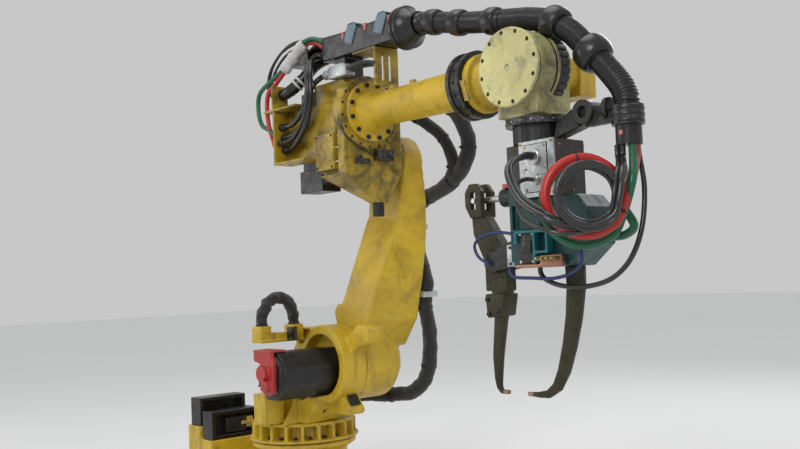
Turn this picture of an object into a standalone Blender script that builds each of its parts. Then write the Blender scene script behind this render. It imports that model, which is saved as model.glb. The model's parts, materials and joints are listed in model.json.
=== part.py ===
"""Six-axis industrial robot arm with a spot welding gun and its dress pack.

Metres, +Z up. The origin is on the floor, on the axis that the column swivels about. The arm reaches
along +X. Each moving body has an empty on its joint's axis, and its pieces are modelled in that
empty's frame.
"""

import math

import bmesh
import bpy
from mathutils import Vector

# Clearances
SEAT = 0.0003
RUNNING_GAP = 0.005
OVERRUN = 0.02
WELD = 0.006

# Arm geometry
SHOULDER_REACH = 0.312
SHOULDER_HEIGHT = 0.670
LOWER_ARM_LENGTH = 1.075
LOWER_ARM_LEAN = math.radians(10.75)
ROLL_AXIS_RISE = 0.225
FOREARM_DROOP = math.radians(0.48)
FOREARM_LENGTH = 1.280
FLANGE_DROP = 0.215

# Base casting
FOOT_WIDTH = 0.680
FOOT_THICKNESS = 0.035
FOOT_CORNER = 0.120
FOOT_BOLT_RADIUS = 0.014
FOOT_BOLT_FAR = 0.300
FOOT_BOLT_NEAR = 0.190
BASE_HEIGHT = 0.262
BASE_SKIRT_RADIUS = 0.290
BASE_WAIST_RADIUS = 0.235
BASE_RIM_RADIUS = 0.285
BASE_RIM_THICKNESS = 0.030
BASE_SKIRT_HEIGHT = 0.095
SWIVEL_BEARING_RADIUS = 0.200
BASE_RIB_THICKNESS = 0.024
BASE_RIB_REACH = 0.360
BASE_RIB_HEIGHT = 0.170
CABLE_NECK_LENGTH = 0.170
CABLE_NECK_WIDTH = 0.240
CABLE_NECK_HEIGHT = 0.150

# Cable box behind the base, and its two plug hoods
CABLE_BOX_LENGTH = 0.270
CABLE_BOX_NEAR = -0.350
CABLE_BOX_FAR = 0.130
CABLE_BOX_LOW_STEP = 0.237
CABLE_BOX_HEIGHT = 0.305
CABLE_BOX_WALL = 0.012
HOOD_LENGTH = 0.110
HOOD_WIDTH = 0.300
HOOD_HEIGHT = 0.158
HOOD_FRAME = 0.024
HOOD_RECESS = 0.040
HOOD_NEAR_SIDE = -0.340

# Turntable
TURNTABLE_HEIGHT = 0.104
RIM_RADIUS = 0.300
RIM_THICKNESS = 0.016
DECK_RADIUS = 0.276
DECK_THICKNESS = 0.020
RIB_OUTER_RADIUS = 0.284
RIB_INNER_RADIUS = 0.215
RIM_RIB_COUNT = 20
RIM_RIB_THICKNESS = 0.018

# Column casting
HOUSING_RADIUS = 0.207
ARCH_RADIUS = 0.160
ARCH_FACE = -0.095
ARCH_FLOOR = -0.021
BOSS_FACE = 0.055
SHOULDER_FACE = 0.060
SHOULDER_BEARING_RADIUS = 0.130
WEB_BACK = -0.062
LEG_BACK = -0.160
LEG_FRONT = 0.255
LEG_REAR = -0.170
LEG_SHIN_REACH = 0.420
LEG_SHIN_HEIGHT = 0.545
LEG_KNEE_HEIGHT = 0.500
CREST_HEIGHT = 0.862
CREST_REAR = 0.040
CREST_DEPTH = 0.085
CREST_WALL = 0.014
GUSSET_THICKNESS = 0.026
GUSSET_REACH = -0.262
GUSSET_TOP = 0.520
GUSSET_FRONT_X = 0.190
GUSSET_REAR_X = -0.030
SHIN_REAR_X = 0.040
LEG_HOLE_RADIUS = 0.013
LEG_HOLE_Y = -0.075
LEG_HOLE_HEIGHT = 0.430
STOP_WIDTH = 0.085
STOP_REACH = 0.655
STOP_ROOT_SHARE = 0.52
STOP_TOP = 0.880
STOP_THICKNESS = 0.095
TONGUE_WIDTH = 0.105
TONGUE_LENGTH = 0.075
TONGUE_TOP = 0.535
TONGUE_LOW = 0.415
PAD_SIZE = 0.058
PAD_THICKNESS = 0.012

# Shoulder motor and its guard
MOTOR_HEIGHT = 0.240
MOTOR_DEPTH = 0.250
MOTOR_CHAMFER = 0.075
MOTOR_LENGTH = 0.372
MOTOR_DROP = 0.030
MOTOR_END_INSET = 0.018
MOTOR_END_LENGTH = 0.016
GUARD_THICKNESS = 0.024
GUARD_TOP_LIP = 0.070
GUARD_SOCKET_RADIUS = 0.040
GUARD_SOCKET_LENGTH = 0.030
# Corners of the guard, as shares of the half depth and half height of the motor's end
GUARD_OUTLINE_SHARES = (
    (-0.95, 0.95),
    (-0.95, 0.72),
    (-0.45, 0.62),
    (-0.50, -0.66),
    (0.05, -0.92),
    (0.62, -0.80),
    (0.66, 0.70),
    (0.50, 0.95),
)
# Its sockets: place as the same shares, and size as a share of the larger one's
GUARD_SOCKET_SHARES = ((-0.02, 0.18, 1.0), (0.28, -0.42, 0.7))

# Terminal bracket beside the crest, above the motor
SHELF_THICKNESS = 0.012
SHELF_REAR = 0.035
SHELF_FRONT = 0.135
SHELF_DROP = 0.067
SHELF_LENGTH = 0.275
TERMINAL_HEIGHT = 0.075
TERMINAL_LENGTH = 0.072
# Each box's start as a share of the shelf's length, and its height as a share of the tallest
TERMINAL_SHARES = ((0.0, 1.0), (0.36, 0.5), (0.74, 1.0))
PLUG_BOX_LENGTH = 0.040
SLEEVE_RADIUS = 0.032

# Low terminal box and the swivel motor on the turntable
LOW_BOX_FRONT = 0.150
LOW_BOX_REAR = 0.040
LOW_BOX_NEAR = -0.225
LOW_BOX_FAR = -0.340
LOW_BOX_HEIGHT = 0.165
LOW_BOX_LIFT = 0.012
SWIVEL_MOTOR_X = -0.125
SWIVEL_MOTOR_Y = 0.135
SWIVEL_MOTOR_WIDTH = 0.130
SWIVEL_MOTOR_HEIGHT = 0.280
SWIVEL_MOTOR_FLANGE = 0.150
SWIVEL_FLANGE_THICKNESS = 0.030

# Lower arm
BARREL_RADIUS = 0.200
BARREL_LENGTH = 0.215
BARREL_NOSE_RADIUS = 0.150
BARREL_NOSE_FACE = 0.330
ARM_OUTER_FACE = 0.380
ARM_INNER_LOW = 0.062
ARM_INNER_TOP = 0.252
ARM_HALF_DEPTH = 0.205
ARM_HEAD_RADIUS = 0.142
LUG_WIDTH = 0.060
LUG_REACH = 0.128
LUG_HEIGHT = 0.250
LUG_THICKNESS = 0.095
# Levels of the blade: height as a share of the arm's length; rear, inner front and outer front as shares
# of the half depth; and the inner face's way from the barrel to the elbow
ARM_LEVEL_SHARES = (
    (0.09, -0.62, 0.72, 0.60, 0.00),
    (0.24, -0.40, 0.80, 0.98, 0.01),
    (0.44, -0.30, 0.84, 1.06, 0.24),
    (0.61, -0.48, 0.70, 1.08, 0.66),
    (0.72, -0.62, 0.54, 1.02, 0.98),
    (0.84, -0.68, 0.62, 0.95, 1.00),
    (1.00, -0.68, 0.66, 0.69, 1.00),
)

# Elbow casing
CASING_FRONT = 0.165
CASING_REAR = -0.130
CASING_NEAR = -0.160
CASING_FAR = 0.212
CASING_LOW = -0.088
CASING_TOP = 0.400
CASING_SIDE_RECESS = 0.045
CASING_BROW = 0.060
HOPPER_BOTTOM = -0.226
HOPPER_TIP_FRONT = 0.112
HOPPER_TIP_REAR = 0.052
HOPPER_TIP_NEAR = 0.070
HOPPER_TIP_FAR = 0.150
GEAR_RING_RADIUS = 0.186
GEAR_RING_FACE = 0.175
ELBOW_BEARING_RADIUS = 0.105
SOCKET_WIDTH = 0.105
SOCKET_HEIGHT = 0.056
SOCKET_DEPTH = 0.035
SOCKET_Y = 0.075
SOCKET_Z = 0.008
STOP_PAD_RADIUS = 0.030
STOP_PAD_LENGTH = 0.070

# Plates and boxes on the casing's near side and rear
SIDE_PLATE_REAR = -0.085
SIDE_PLATE_FRONT = 0.070
SIDE_PLATE_LOW = -0.058
SIDE_PLATE_TOP = 0.128
CABLE_WALL_REAR = -0.365
CABLE_WALL_LOW = 0.000
CABLE_WALL_TOP = 0.290
CABLE_WALL_THICKNESS = 0.014
CABLE_WALL_DEPTH = 0.120
REAR_PLATE_THICKNESS = 0.012
WRIST_MOTOR_LENGTH = 0.250
WRIST_MOTOR_SIZE = 0.130
WRIST_MOTOR_SPREAD = 0.150
WRIST_MOTOR_Y = 0.030
ELBOW_MOTOR_SIZE = 0.120
ELBOW_MOTOR_LENGTH = 0.215
ELBOW_MOTOR_Y = -0.020
SHELF_TOP_REAR = -0.450
SHELF_UPRIGHT_HEIGHT = 0.140

# Dress pack guide on top of the casing
TROUGH_REAR = -0.090
TROUGH_FRONT = 0.480
TROUGH_WIDTH = 0.150
TROUGH_LOW = 0.520
TROUGH_HEIGHT = 0.120
TROUGH_WALL = 0.012
TROUGH_Y = -0.020
PEDESTAL_REAR = 0.000
PEDESTAL_WIDTH = 0.120
BRACKET_FRONT = 0.345
BRACKET_LOW = 0.325
BRACKET_THICKNESS = 0.012
BRACKET_SLOT = 0.014
BRACKET_SLOT_SHARES = (0.35, 0.65)
BELL_MOUTH_RADIUS = 0.105
BELL_NECK_RADIUS = 0.060
BELL_LENGTH = 0.120

# Forearm
GEAR_GAP = 0.0015
FOREARM_FLANGE_RADIUS = 0.152
FOREARM_FLANGE_THICKNESS = 0.022
TUBE_RADIUS = 0.084
TUBE_ROOT_RADIUS = 0.104
TUBE_ROOT_LENGTH = 0.050
TUBE_END = 0.890
TUBE_FLARE_START = 0.835
TUBE_FLARE_RADIUS = 0.128
TUBE_COLLAR_THICKNESS = 0.026
RING_RADIUS = 0.152
RING_LENGTH = 0.084
RING_GROOVE = 0.006
RING_GROOVE_SHARES = (0.30, 0.72)
NECK_RADIUS = 0.132
NECK_LENGTH = 0.034
NECK_CONE_RADIUS = 0.100
NECK_CONE_LENGTH = 0.050
NECK_CONE_SHARE = 0.8
FORK_INNER_FACE = 0.092
FORK_OUTER_FACE = 0.290
FORK_LOW = -0.098
FORK_TOP = 0.070
FORK_FRONT = 1.370
FORK_HUB_RADIUS = 0.078

# Wrist
COVER_RADIUS = 0.1625
COVER_THICKNESS = 0.018
COVER_FACE = -0.170
DRUM_RADIUS = 0.158
DRUM_FAR_FACE = 0.060
DRUM_GROOVE = 0.008
DRUM_GROOVE_WIDTH = 0.014
NOTCH_COUNT = 30
NOTCH_DEPTH = 0.010
NOTCH_RISE = 0.003
NOTCH_NEAR = -0.018
NOTCH_FAR = 0.028
NOTCH_SHARE = 0.62
WRIST_HUB_RADIUS = 0.105
BLOCK_HALF_LENGTH = 0.110
BLOCK_NEAR = -0.120
BLOCK_FAR = 0.105
BLOCK_LOW = -0.196

# Tool flange and swing bracket
TOOL_FLANGE_RADIUS = 0.132
TOOL_FLANGE_THICKNESS = 0.030
ADAPTER_RADIUS = 0.104
SWING_REACH = 0.262
SWING_WIDTH = 0.062
SWING_BOSS_RADIUS = 0.050
SWING_BORE_RADIUS = 0.022
SWING_DISC_RADIUS = 0.045
SWING_DISC_GAP = 0.012
SWING_LINK_WIDTH = 0.036
CLAMP_X = 0.449
CLAMP_RADIUS = 0.062
CLAMP_HEIGHT = 0.075
CLAMP_Z = -0.040
CLAMP_TAIL = 0.075
CLAMP_TAIL_RADIUS = 0.050

# Gun
GUN_TOP = -0.094
TRANSFORMER_REAR = 0.006
TRANSFORMER_FRONT = 0.186
TRANSFORMER_NEAR = -0.130
TRANSFORMER_FAR = 0.060
TRANSFORMER_HEIGHT = 0.226
PANEL_THICKNESS = 0.010
PANEL_SOCKET_RADIUS = 0.028
PANEL_SOCKET_LENGTH = 0.026
# The panel's sockets: height as a share of the panel's, and size as a share of the larger one's
PANEL_SOCKET_SHARES = ((0.70, 1.0), (0.30, 0.7))
GUN_BODY_REAR = -0.105
GUN_BODY_FRONT = 0.300
GUN_BODY_HALF_WIDTH = 0.085
GUN_BODY_LOW = -0.600
GUN_TOWER_HEIGHT = 0.070
# Corners of the gun's body below the transformer, as shares of its length and height
BODY_SHARES = ((0.00, 0.10), (0.12, 0.00), (0.74, 0.00), (1.00, 0.30), (1.00, 0.80), (0.88, 1.00))
POCKET_DEPTH = 0.022
POCKET_RIB = 0.016
POCKET_TOP_SHARE = 0.92
POCKET_LOW_SHARE = 0.56
# Frame on the body's near side, with the copper casting below it
FRAME_REAR = -0.050
FRAME_POST = 0.048
FRAME_FRONT = 0.126
FRAME_TOP = -0.449
FRAME_STUB_LOW = -0.500
FRAME_WINDOW_LOW = -0.545
FRAME_LOW = -0.585
FRAME_BAR = 0.012
FRAME_DEPTH = 0.040
SHUNT_REAR = -0.055
SHUNT_TOP = -0.5855
SHUNT_BLOCK_REAR = 0.078
SHUNT_BLOCK_FRONT = 0.190
SHUNT_BLOCK_TOP = -0.552
SHUNT_DEPTH = 0.034
LEVER_X = -0.251
LEVER_DROP = 0.568
LEVER_HALF_WIDTH = 0.030
LEVER_HUB_RADIUS = 0.062
CHEEK_GAP = 0.006
CHEEK_THICKNESS = 0.016
CHEEK_RADIUS = 0.048
PIN_RADIUS = 0.016
PIN_CLEARANCE = 0.0008
TIP_RADIUS = 0.009
TIP_LENGTH = 0.030
ELECTRODE_REACH = 0.557
TIP_GAP = 0.106
# The lever and the fixed arm run through stations: place along X and Z from the lever's pin, and radius,
# each as a share of the electrodes' reach below the pin
LEVER_STATION_SHARES = (
    (0.000, -0.130, 0.085),
    (0.018, -0.230, 0.088),
    (-0.012, -0.440, 0.056),
    (-0.060, -0.730, 0.046),
    (-0.068, -0.900, 0.034),
    (-0.062, -0.965, 0.026),
    (-0.036, -1.000, 0.021),
    (-0.012, -1.000, 0.018),
)
FIXED_STATION_SHARES = (
    (0.738, -0.040, 0.076),
    (0.738, -0.200, 0.072),
    (0.705, -0.420, 0.064),
    (0.655, -0.620, 0.057),
    (0.590, -0.810, 0.050),
    (0.520, -0.930, 0.042),
    (0.430, -0.990, 0.032),
    (0.340, -1.000, 0.023),
    (0.285, -1.000, 0.018),
)
HEAD_X = -0.104
HEAD_Z = 0.273
HEAD_HALF_LENGTH = 0.050
HEAD_HALF_HEIGHT = 0.075
HEAD_HALF_WIDTH = 0.046
# Corners of the lever's head, as shares of its half length and half height
HEAD_SHARES = ((-1.0, -0.3), (-0.4, -1.0), (1.0, -1.0), (1.0, 0.5), (0.4, 1.0), (-0.4, 1.0), (-1.0, 0.5))
FORK_SLOT_WIDTH = 0.038
ROD_PIN_RADIUS = 0.011
ROD_PIN_CLEARANCE = 0.004
ROD_SLOT_HALF_HEIGHT = 0.038
ROD_RADIUS = 0.014
ROD_CLEARANCE = 0.0008
ROD_HEAD_WIDTH = 0.019
ROD_HEAD_RADIUS = 0.026
CYLINDER_RADIUS = 0.040
CYLINDER_LENGTH = 0.100
ROD_TRAVEL_ROOM = 0.075

# Hose sizes
CONDUIT_RADIUS = 0.049
SLEEVE_RADIUS_ARM = 0.043
SLEEVE_BEDDING = 0.008
ARM_CLAMP_LENGTH = 0.090
ARM_CLAMP_HEIGHT = 0.030
ARM_CLAMP_LOW = 0.392
ARM_CLAMP_LOW_X = 0.185
ARM_CLAMP_TOP = 0.740
ARM_CLAMP_TOP_X = 0.060
PORT_DEPTH = 0.120
PORT_LOW = 0.270
PORT_HEIGHT = 0.110
CABLE_BUNDLE_RADIUS = 0.027
SHELF_HOSE_RADIUS = 0.032
LOOP_X = 0.375
LOOP_Y = -0.190
LOOP_Z = -0.345
LOOP_HEADING = math.radians(49.5)
LOOP_START = math.radians(-35)
RED_LOOP_RADIUS = 0.145
RED_LOOP_TURN = math.radians(330)
RED_LOOP_STEPS = 14
RED_LOOP_START = 0.020
RED_LOOP_END = -0.035
GREY_LOOP_RADIUS = 0.115
GREY_LOOP_TURN = math.radians(415)
GREY_LOOP_STEPS = 18
GREY_LOOP_START = 0.085
GREY_LOOP_END = 0.045
HOSE_RUN = 0.040
HOSE_RADIUS = 0.013
RED_HOSE_RADIUS = 0.019
HOSE_SIDE_STEPS = 2
ROUND_SEGMENTS = 32
SMALL_SEGMENTS = 16


def clear_scene():
    for obj in list(bpy.data.objects):
        bpy.data.objects.remove(obj, do_unlink=True)


def finish(name, colour, roughness, metallic=0.0):
    """A plain Principled material."""
    made = bpy.data.materials.new(name)
    made.use_nodes = True
    shader = made.node_tree.nodes["Principled BSDF"]
    shader.inputs["Base Color"].default_value = (*colour, 1.0)
    shader.inputs["Roughness"].default_value = roughness
    shader.inputs["Metallic"].default_value = metallic
    return made


def make_finishes():
    return {
        "yellow": finish("robot_yellow", (0.62, 0.42, 0.03), 0.45),
        "pale": finish("wrist_pale_yellow", (0.62, 0.56, 0.24), 0.5),
        "black": finish("black_paint", (0.015, 0.015, 0.016), 0.4),
        "rubber": finish("black_rubber", (0.02, 0.02, 0.02), 0.7),
        "red": finish("guard_red", (0.42, 0.03, 0.03), 0.45),
        "plate": finish("zinc_plate", (0.55, 0.57, 0.56), 0.35, 0.8),
        "teal": finish("gun_teal", (0.01, 0.16, 0.16), 0.45),
        "bronze": finish("cast_copper", (0.12, 0.105, 0.06), 0.5, 0.3),
        "steel": finish("dark_steel", (0.14, 0.14, 0.14), 0.45, 0.7),
        "red_hose": finish("red_hose", (0.55, 0.02, 0.01), 0.3),
    }


def pivot(name, parent=None, location=(0, 0, 0), turn=0.0):
    """An empty on a joint's axis, which carries the pieces of its body."""
    made = bpy.data.objects.new(name, None)
    bpy.context.scene.collection.objects.link(made)
    made.parent = parent
    made.location = location
    made.rotation_euler = (0, turn, 0)
    return made


def put(axis, along, first, second):
    """A point from its place along an axis and its two places across it, in the order X, Y, Z."""
    across = [first, second]
    across.insert("XYZ".index(axis), along)
    return Vector(across)


def box(x, y, z):
    made = bmesh.new()
    bmesh.ops.create_cube(made, size=1)
    for vert in made.verts:
        for axis, (low, high) in enumerate((x, y, z)):
            vert.co[axis] = low if vert.co[axis] < 0 else high
    return made


def loft(rings):
    """A closed solid through rings that hold the same number of points."""
    made = bmesh.new()
    rows = [[made.verts.new(point) for point in ring] for ring in rings]
    for lower, upper in zip(rows, rows[1:]):
        for index in range(len(lower)):
            after = (index + 1) % len(lower)
            made.faces.new((lower[index], lower[after], upper[after], upper[index]))
    made.faces.new(rows[0])
    made.faces.new(rows[-1])
    return made


def prism(axis, outline, span):
    """An outline in the plane across an axis, carried along it."""
    return loft([[put(axis, along, *point) for point in outline] for along in span])


def turned(axis, centre, profile, segments=ROUND_SEGMENTS):
    """A solid of revolution from (place along the axis, radius) pairs."""
    rings = []
    for along, radius in profile:
        ring = []
        for step in range(segments):
            angle = math.tau * step / segments
            first = centre[0] + radius * math.cos(angle)
            second = centre[1] + radius * math.sin(angle)
            ring.append(put(axis, along, first, second))
        rings.append(ring)
    return loft(rings)


def drum(axis, centre, radius, span, segments=ROUND_SEGMENTS):
    return turned(axis, centre, [(span[0], radius), (span[1], radius)], segments)


def spread(middle, size):
    return (middle - size / 2, middle + size / 2)


def linked(name, shape, carrier):
    bmesh.ops.recalc_face_normals(shape, faces=shape.faces)
    mesh = bpy.data.meshes.new(name)
    shape.to_mesh(mesh)
    shape.free()
    made = bpy.data.objects.new(name, mesh)
    bpy.context.scene.collection.objects.link(made)
    made.parent = carrier
    return made


def solid(name, material, carrier, pieces, cuts=()):
    """One node: its first piece, with the others joined to it and the cuts taken away."""
    made = linked(name, pieces[0], carrier)
    made.data.materials.append(material)
    made.data.shade_smooth()
    made.data.set_sharp_from_angle(angle=math.radians(35))
    operands = [(piece, "UNION") for piece in pieces[1:]] + [(cut, "DIFFERENCE") for cut in cuts]
    for number, (shape, operation) in enumerate(operands):
        helper = linked(f"{name}_{operation.lower()}_{number}", shape, carrier)
        helper.hide_render = True
        helper.display_type = "WIRE"
        modifier = made.modifiers.new(operation.title(), "BOOLEAN")
        modifier.operation = operation
        modifier.object = helper
        modifier.solver = "EXACT"
    return made


def smooth_route(route, steps):
    """Points on a smooth curve through the route's own, straight at both ends to sit square."""
    points = [Vector(point) for point in route]
    curve = [points[0]]
    for before, start, end, after in zip(points, points[1:], points[2:], points[3:]):
        for step in range(steps):
            t = step / steps
            curve.append(
                0.5
                * (
                    2 * start
                    + (end - before) * t
                    + (2 * before - 5 * start + 4 * end - after) * t**2
                    + (3 * start - before - 3 * end + after) * t**3
                )
            )
    return [*curve, points[-2], points[-1]]


def hose(name, material, carrier, route, radius, steps=2):
    """A hose as a bevelled curve with filled ends."""
    points = smooth_route(route, steps)
    curve = bpy.data.curves.new(name, "CURVE")
    curve.dimensions = "3D"
    curve.bevel_depth = radius
    curve.bevel_resolution = HOSE_SIDE_STEPS
    curve.use_fill_caps = True
    curve.materials.append(material)
    line = curve.splines.new("POLY")
    line.points.add(len(points) - 1)
    for target, point in zip(line.points, points):
        target.co = (*point, 1.0)
    made = bpy.data.objects.new(name, curve)
    bpy.context.scene.collection.objects.link(made)
    made.parent = carrier
    return made


def make_base(looks, floor):
    """Foot plate, waisted drum and ribs, one casting, with the cable box and plug hoods behind it."""
    half = FOOT_WIDTH / 2
    inner = half - FOOT_CORNER
    foot = [(half, inner), (inner, half), (-inner, half), (-half, inner)]
    foot += [(-x, -y) for x, y in foot]
    plate = prism("Z", foot, (0, FOOT_THICKNESS))
    profile = [
        (FOOT_THICKNESS - WELD, BASE_SKIRT_RADIUS),
        (BASE_SKIRT_HEIGHT, BASE_WAIST_RADIUS),
        (BASE_HEIGHT - 2 * BASE_RIM_THICKNESS, BASE_WAIST_RADIUS),
        (BASE_HEIGHT - BASE_RIM_THICKNESS, BASE_RIM_RADIUS),
        (BASE_HEIGHT - RUNNING_GAP, BASE_RIM_RADIUS),
        (BASE_HEIGHT - RUNNING_GAP, SWIVEL_BEARING_RADIUS),
        (BASE_HEIGHT - SEAT, SWIVEL_BEARING_RADIUS),
    ]
    pieces = [plate, turned("Z", (0, 0), profile)]
    rib_outline = [
        (0, FOOT_THICKNESS - WELD),
        (BASE_RIB_REACH, FOOT_THICKNESS - WELD),
        (BASE_WAIST_RADIUS, BASE_RIB_HEIGHT),
        (0, BASE_RIB_HEIGHT),
    ]
    for quarter in range(4):
        rib = prism("Y", rib_outline, spread(0, BASE_RIB_THICKNESS))
        angle = math.radians(45 + 90 * quarter)
        for vert in rib.verts:
            x, y = vert.co.x, vert.co.y
            vert.co.x = x * math.cos(angle) - y * math.sin(angle)
            vert.co.y = x * math.sin(angle) + y * math.cos(angle)
        pieces.append(rib)
    neck_end = -BASE_WAIST_RADIUS - CABLE_NECK_LENGTH
    neck = box((neck_end, 0), spread(0, CABLE_NECK_WIDTH), (FOOT_THICKNESS / 2, CABLE_NECK_HEIGHT))
    pieces.append(neck)
    cuts = []
    for far, near in ((FOOT_BOLT_FAR, FOOT_BOLT_NEAR), (FOOT_BOLT_NEAR, FOOT_BOLT_FAR)):
        for x in (-far, far):
            for y in (-near, near):
                hole = (-OVERRUN, FOOT_THICKNESS + OVERRUN)
                cuts.append(drum("Z", (x, y), FOOT_BOLT_RADIUS, hole, SMALL_SEGMENTS // 2))
    solid("base_casting", looks["yellow"], floor, pieces, cuts)

    box_front = neck_end - SEAT
    box_rear = box_front - CABLE_BOX_LENGTH
    box_step = box_front - CABLE_BOX_LENGTH / 2
    outline = [
        (box_front, FOOT_THICKNESS / 2),
        (box_front, CABLE_BOX_LOW_STEP),
        (box_step, CABLE_BOX_LOW_STEP),
        (box_step, CABLE_BOX_HEIGHT),
        (box_rear, CABLE_BOX_HEIGHT),
        (box_rear, FOOT_THICKNESS / 2),
    ]
    shell = prism("Y", outline, (CABLE_BOX_NEAR, CABLE_BOX_FAR))
    recess = box(
        (box_rear - OVERRUN, box_rear + CABLE_BOX_WALL),
        (CABLE_BOX_NEAR + CABLE_BOX_WALL, CABLE_BOX_FAR - CABLE_BOX_WALL),
        (FOOT_THICKNESS / 2 + CABLE_BOX_WALL, CABLE_BOX_HEIGHT - CABLE_BOX_WALL),
    )
    solid("base_cable_box", looks["yellow"], floor, [shell], [recess])
    for name, front, bottom in (
        ("plug_hood_front", box_front, CABLE_BOX_LOW_STEP + SEAT),
        ("plug_hood_rear", box_step, CABLE_BOX_HEIGHT + SEAT),
    ):
        front -= WELD
        y = (HOOD_NEAR_SIDE, HOOD_NEAR_SIDE + HOOD_WIDTH)
        hood = box((front - HOOD_LENGTH, front), y, (bottom, bottom + HOOD_HEIGHT))
        window = box(
            (front - HOOD_RECESS, front + OVERRUN),
            (y[0] + HOOD_FRAME, y[1] - HOOD_FRAME),
            (bottom + HOOD_FRAME, bottom + HOOD_HEIGHT - HOOD_FRAME),
        )
        solid(name, looks["black"], floor, [hood], [window])


def make_turntable(looks, column):
    """Two discs with a ring of ribs between them, which leaves a row of pockets."""
    deck_top = BASE_HEIGHT + TURNTABLE_HEIGHT
    outline = []
    for rib in range(RIM_RIB_COUNT):
        middle = math.tau * rib / RIM_RIB_COUNT
        tip = RIM_RIB_THICKNESS / RIB_OUTER_RADIUS / 2
        root = RIM_RIB_THICKNESS / RIB_INNER_RADIUS / 2
        for radius, angle in (
            (RIB_INNER_RADIUS, middle - root),
            (RIB_OUTER_RADIUS, middle - tip),
            (RIB_OUTER_RADIUS, middle + tip),
            (RIB_INNER_RADIUS, middle + root),
        ):
            outline.append((radius * math.cos(angle), radius * math.sin(angle)))
    ribs = prism("Z", outline, (BASE_HEIGHT + RIM_THICKNESS / 2, deck_top - DECK_THICKNESS / 2))
    rim = drum("Z", (0, 0), RIM_RADIUS, (BASE_HEIGHT, BASE_HEIGHT + RIM_THICKNESS))
    deck = drum("Z", (0, 0), DECK_RADIUS, (deck_top - DECK_THICKNESS, deck_top))
    solid("turntable", looks["yellow"], column, [rim, ribs, deck])


def make_column(looks, column):
    """The shoulder's casting: leg, bearing housing with the motor's arch, crest, stop and tongue."""
    deck = BASE_HEIGHT + TURNTABLE_HEIGHT + SEAT
    centre = (SHOULDER_REACH, SHOULDER_HEIGHT)
    stop_root = SHOULDER_REACH + STOP_ROOT_SHARE * HOUSING_RADIUS
    tongue_tip = LEG_SHIN_REACH + TONGUE_LENGTH
    housing = turned(
        "Y",
        centre,
        [
            (ARCH_FACE, HOUSING_RADIUS),
            (BOSS_FACE, HOUSING_RADIUS),
            (BOSS_FACE, SHOULDER_BEARING_RADIUS),
            (SHOULDER_FACE - SEAT, SHOULDER_BEARING_RADIUS),
        ],
    )
    web = prism(
        "Y",
        [
            (LEG_REAR, deck),
            (LEG_FRONT, deck),
            (LEG_SHIN_REACH, LEG_SHIN_HEIGHT),
            (SHOULDER_REACH, SHOULDER_HEIGHT),
            (SHOULDER_REACH, CREST_HEIGHT),
            (CREST_REAR, CREST_HEIGHT),
            (CREST_REAR, CREST_HEIGHT - CREST_DEPTH),
            (LEG_REAR, LEG_KNEE_HEIGHT),
        ],
        (WEB_BACK, BOSS_FACE - RUNNING_GAP),
    )
    shin = prism(
        "Y",
        [
            (SHIN_REAR_X, deck),
            (LEG_FRONT - SEAT, deck),
            (LEG_SHIN_REACH - OVERRUN, LEG_KNEE_HEIGHT + OVERRUN),
            (SHOULDER_REACH, LEG_KNEE_HEIGHT + OVERRUN),
            (GUSSET_FRONT_X, LEG_KNEE_HEIGHT - OVERRUN),
        ],
        (LEG_BACK, 0),
    )
    stop = prism(
        "Y",
        [
            (stop_root, STOP_TOP - STOP_THICKNESS),
            (STOP_REACH - STOP_THICKNESS, STOP_TOP),
            (STOP_REACH, STOP_TOP - OVERRUN),
            (STOP_REACH - OVERRUN, STOP_TOP - STOP_THICKNESS),
            (STOP_REACH - STOP_THICKNESS, STOP_TOP - STOP_THICKNESS - OVERRUN),
            (stop_root + OVERRUN, STOP_TOP - 2 * STOP_THICKNESS),
        ],
        (BOSS_FACE - RUNNING_GAP - STOP_WIDTH, BOSS_FACE - RUNNING_GAP),
    )
    tongue = prism(
        "Y",
        [
            (SHOULDER_REACH, TONGUE_LOW),
            (tongue_tip - OVERRUN, TONGUE_LOW),
            (tongue_tip, TONGUE_LOW + OVERRUN),
            (LEG_SHIN_REACH, TONGUE_TOP),
            (SHOULDER_REACH, TONGUE_TOP),
        ],
        spread(0, TONGUE_WIDTH),
    )
    pieces = [housing, web, shin, stop, tongue]
    for x in (GUSSET_REAR_X, GUSSET_FRONT_X):
        outline = [
            (GUSSET_REACH, deck),
            (WEB_BACK + WELD, deck),
            (WEB_BACK + WELD, GUSSET_TOP),
            (LEG_BACK, GUSSET_TOP),
        ]
        pieces.append(prism("X", outline, spread(x, GUSSET_THICKNESS)))
    arch = drum("Y", centre, ARCH_RADIUS, (GUSSET_REACH, ARCH_FLOOR))
    pocket = prism(
        "Y",
        [
            (CREST_REAR + 2 * CREST_WALL, CREST_HEIGHT - CREST_WALL),
            (SHOULDER_REACH - ARCH_RADIUS / 2, CREST_HEIGHT - CREST_WALL),
            (SHOULDER_REACH - ARCH_RADIUS, CREST_HEIGHT - CREST_DEPTH),
            (CREST_REAR + 2 * CREST_WALL, CREST_HEIGHT - CREST_DEPTH),
        ],
        (GUSSET_REACH, ARCH_FLOOR - CREST_WALL),
    )
    hole = drum(
        "X",
        (LEG_HOLE_Y, LEG_HOLE_HEIGHT),
        LEG_HOLE_RADIUS,
        (LEG_FRONT, LEG_SHIN_REACH + OVERRUN),
        SMALL_SEGMENTS,
    )
    solid("column_casting", looks["yellow"], column, pieces, [arch, pocket, hole])

    slope = Vector((TONGUE_LENGTH, TONGUE_LOW + OVERRUN - TONGUE_TOP)).normalized()
    normal = Vector((-slope.y, slope.x))
    middle = Vector((tongue_tip + LEG_SHIN_REACH, TONGUE_LOW + OVERRUN + TONGUE_TOP)) / 2
    corners = []
    for along, out in ((-1, 0), (1, 0), (1, 1), (-1, 1)):
        corner = middle + slope * along * PAD_SIZE / 2 + normal * (SEAT + out * PAD_THICKNESS)
        corners.append(tuple(corner))
    solid("bump_pad", looks["rubber"], column, [prism("Y", corners, spread(0, PAD_SIZE))])


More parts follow.
